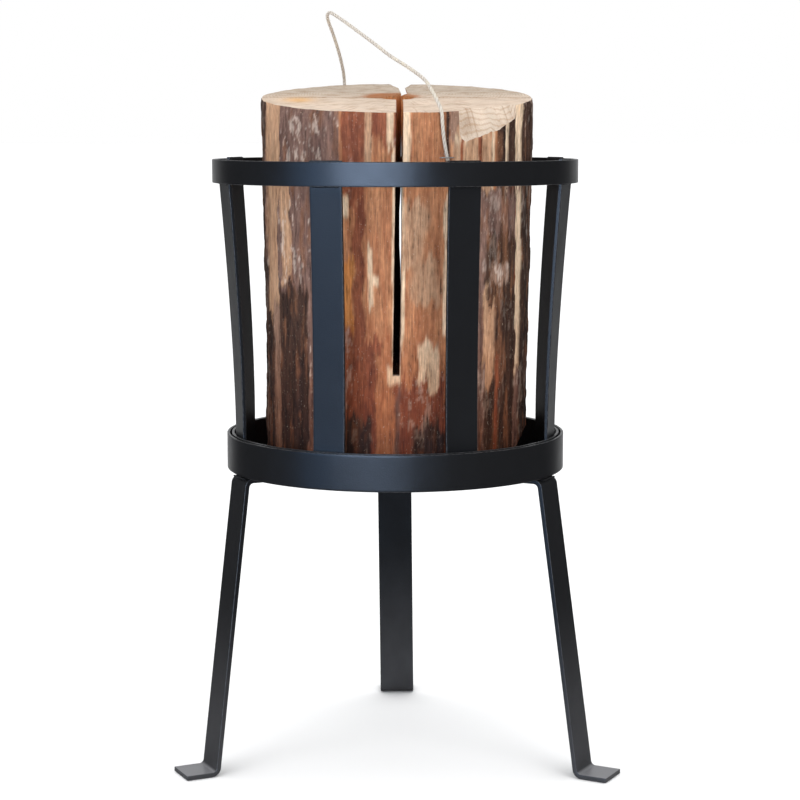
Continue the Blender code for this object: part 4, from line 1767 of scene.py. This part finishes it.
def carried_frames(line: np.ndarray) -> tuple[np.ndarray, np.ndarray]:
    """Two directions across a line, turned as little as possible along it.

    Args:
        line: The points of the line.

    Returns:
        The first and the second direction at each point.
    """
    ahead = unit(np.gradient(line, axis=0))
    first = [unit(np.cross(ahead[0], [0.31, 0.87, 0.11]))]
    for direction in ahead[1:]:
        kept = first[-1] - direction * (first[-1] @ direction)
        first.append(unit(kept))
    first = np.array(first)
    return first, np.cross(ahead, first)


@dataclass
class TwineHandle:
    """Three-strand twine over the top of the log, its ends under two wire staples."""

    axis: Vector
    log: SawnLog
    radius: float = 1.5 * MM
    lay_length: float = 13.0 * MM
    strands: int = 3
    spacing: float = 0.45 * MM
    path_stride: int = 6
    hairs: int = 220
    frayed: int = 26
    hair_wide: float = 0.09 * MM
    staple_wire: float = 1.0 * MM
    staple_crown: float = 11.0 * MM
    staple_leg: float = 7.0 * MM
    staple_room: float = 0.7 * MM
    staples: Mapping[str, tuple[float, float]] = field(default_factory=lambda: {
        "front": (20.4, 50.6 * MM), "rear": (-156.8, 32.2 * MM)})

    def build(self) -> None:
        """Make the twine, its fibres and the staples."""
        line = smooth_line(np.array(TWINE_ROUTE), self.spacing)
        finish = TwineFinish().make()
        twine = self.build_twine(line, finish)
        hairs = self.build_hairs(line, finish)
        wire = StapleFinish().make()
        for name, (degrees, drop) in self.staples.items():
            self.build_staple(name, degrees, drop, wire)

    def build_twine(self, line: np.ndarray, finish: bpy.types.Material) -> bpy.types.Object:
        """The twine: a round outline with three lobes that turn once in a lay length.

        Args:
            line: The points of its middle.
            finish: Its material.

        Returns:
            The new piece.
        """
        side, out = carried_frames(line)
        run = np.arange(len(line)) * np.linalg.norm(line[1] - line[0])
        turn = full_turn(24)
        phase = turn[None, :] - 2 * math.pi * run[:, None] / self.lay_length
        lobes = np.abs(np.cos(self.strands / 2 * phase))
        size = self.radius * (0.91 + 0.09 * lobes**0.7)
        wobble = 1.0 + 0.05 * np.sin(run * 900.0) * np.sin(run * 310.0 + 1.0)
        size = size * wobble[:, None]
        shape = size[..., None] * circle(turn)
        skin = Skin()
        # The rub share is 1 in the grooves between the lobes, where the finish paints shade.
        add_tube(skin, carry(shape, line, side, out), 1.0 - lobes)
        return self.tied(skin, "twisted_twine", finish, "twine_handle")

    def build_hairs(self, line: np.ndarray, finish: bpy.types.Material) -> bpy.types.Object:
        """Loose fibres: thin bent blades that leave the twine and curl, and its frayed ends.

        Args:
            line: The points of the twine's middle.
            finish: Its material.

        Returns:
            The new piece.
        """
        chance = np.random.default_rng(5)
        side, out = carried_frames(line)
        ahead = unit(np.gradient(line, axis=0))
        at = chance.integers(4, len(line) - 4, self.hairs)
        at[:self.frayed] = chance.integers(1, 7, self.frayed)
        turn = chance.uniform(0.0, 2 * math.pi, self.hairs)[:, None]
        away = side[at] * np.cos(turn) + out[at] * np.sin(turn)
        long = chance.uniform(1.6, 4.2, self.hairs)[:, None] * MM
        long[:self.frayed] *= 1.5
        along = ahead[at] * chance.choice([-1.0, 1.0], self.hairs)[:, None]
        share = np.linspace(0.0, 1.0, 5)[None, :, None]
        start = line[at] + away * self.radius * 0.7
        paths = (start[:, None] + along[:, None] * long[:, None] * share
                 + away[:, None] * long[:, None] * 0.45 * share**2)
        tuft = paths[:self.frayed, :, 1]
        tuft[:] = np.minimum(tuft, line[0, 1] + 0.2 * MM)
        width = self.hair_wide * (1.0 - 0.8 * share[..., 0])
        across = unit(np.cross(along, away))
        corners = np.array([(1.0, 0.0), (-0.5, 0.87), (-0.5, -0.87)])
        skin = Skin()
        for path, wide, deep in zip(paths, across, away):
            rings = (path[:, None] + width[0, :, None, None] * (
                corners[None, :, :1] * wide + corners[None, :, 1:] * deep))
            add_tube(skin, rings, 0.1)
        return self.tied(skin, "twine_fibres", finish, "")

    def build_staple(self, name: str, degrees: float, drop: float, finish: bpy.types.Material) -> None:
        """One staple: wire bent round from leg to crown to leg, its legs in the wood.

        Args:
            name: Which staple.
            degrees: Its angle from the front.
            drop: How far below the top's middle it sits.
            finish: Its material.
        """
        turn = math.radians(degrees)
        height = self.log.top_middle - drop
        radius = self.log.base_radius + self.log.taper * (height - self.log.base)
        base = around(turn, radius, height) + np.array([self.log.shift, 0.0, 0.0])
        rise = 2 * self.radius + self.staple_wire / 2 + self.staple_room
        half = self.staple_crown / 2
        corners = np.array([(-half, -self.staple_leg), (-half, rise), (half, rise),
                            (half, -self.staple_leg)])
        flat = rounded_line(corners, self.staple_wire, 6, 0.8 * MM)
        line = base + flat[:, :1] * sideways(turn) + flat[:, 1:] * outward(turn)
        first, second = carried_frames(line)
        shape = circle(full_turn(12)) * self.staple_wire / 2
        skin = Skin()
        add_tube(skin, carry(shape, line, first, second))
        self.tied(skin, f"bright_staple_{name}", finish, f"staple_{name}")

    def tied(self, skin: Skin, name: str, finish: bpy.types.Material, node: str) -> bpy.types.Object:
        """Make a piece of the surfaces gathered and tie it to the firewood."""
        return tie(skin.mesh(name, self.axis, [finish]), Body.FIREWOOD, node)


# ------------------------------------------------------------------------------- main


def hoop_axis() -> Vector:
    """Where the hoops' shared axis stands on the floor."""
    low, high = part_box("stand_ring")
    return Vector(((low.x + high.x) / 2, (low.y + high.y) / 2, 0.0))


def main() -> None:
    """Build the studio and then the rack, piece by piece."""
    logging.basicConfig(level=logging.INFO, format="%(name)s: %(message)s")
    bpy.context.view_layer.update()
    axis = hoop_axis()
    Studio(axis).build()
    log = SawnLog(axis)
    TwineHandle(axis, log).build()
    steel = PaintedSteel().make()
    Stand(axis, steel).build()
    Basket(axis, steel).build()
    log.build()
    bpy.context.view_layer.update()


if __name__ == "__main__":
    main()
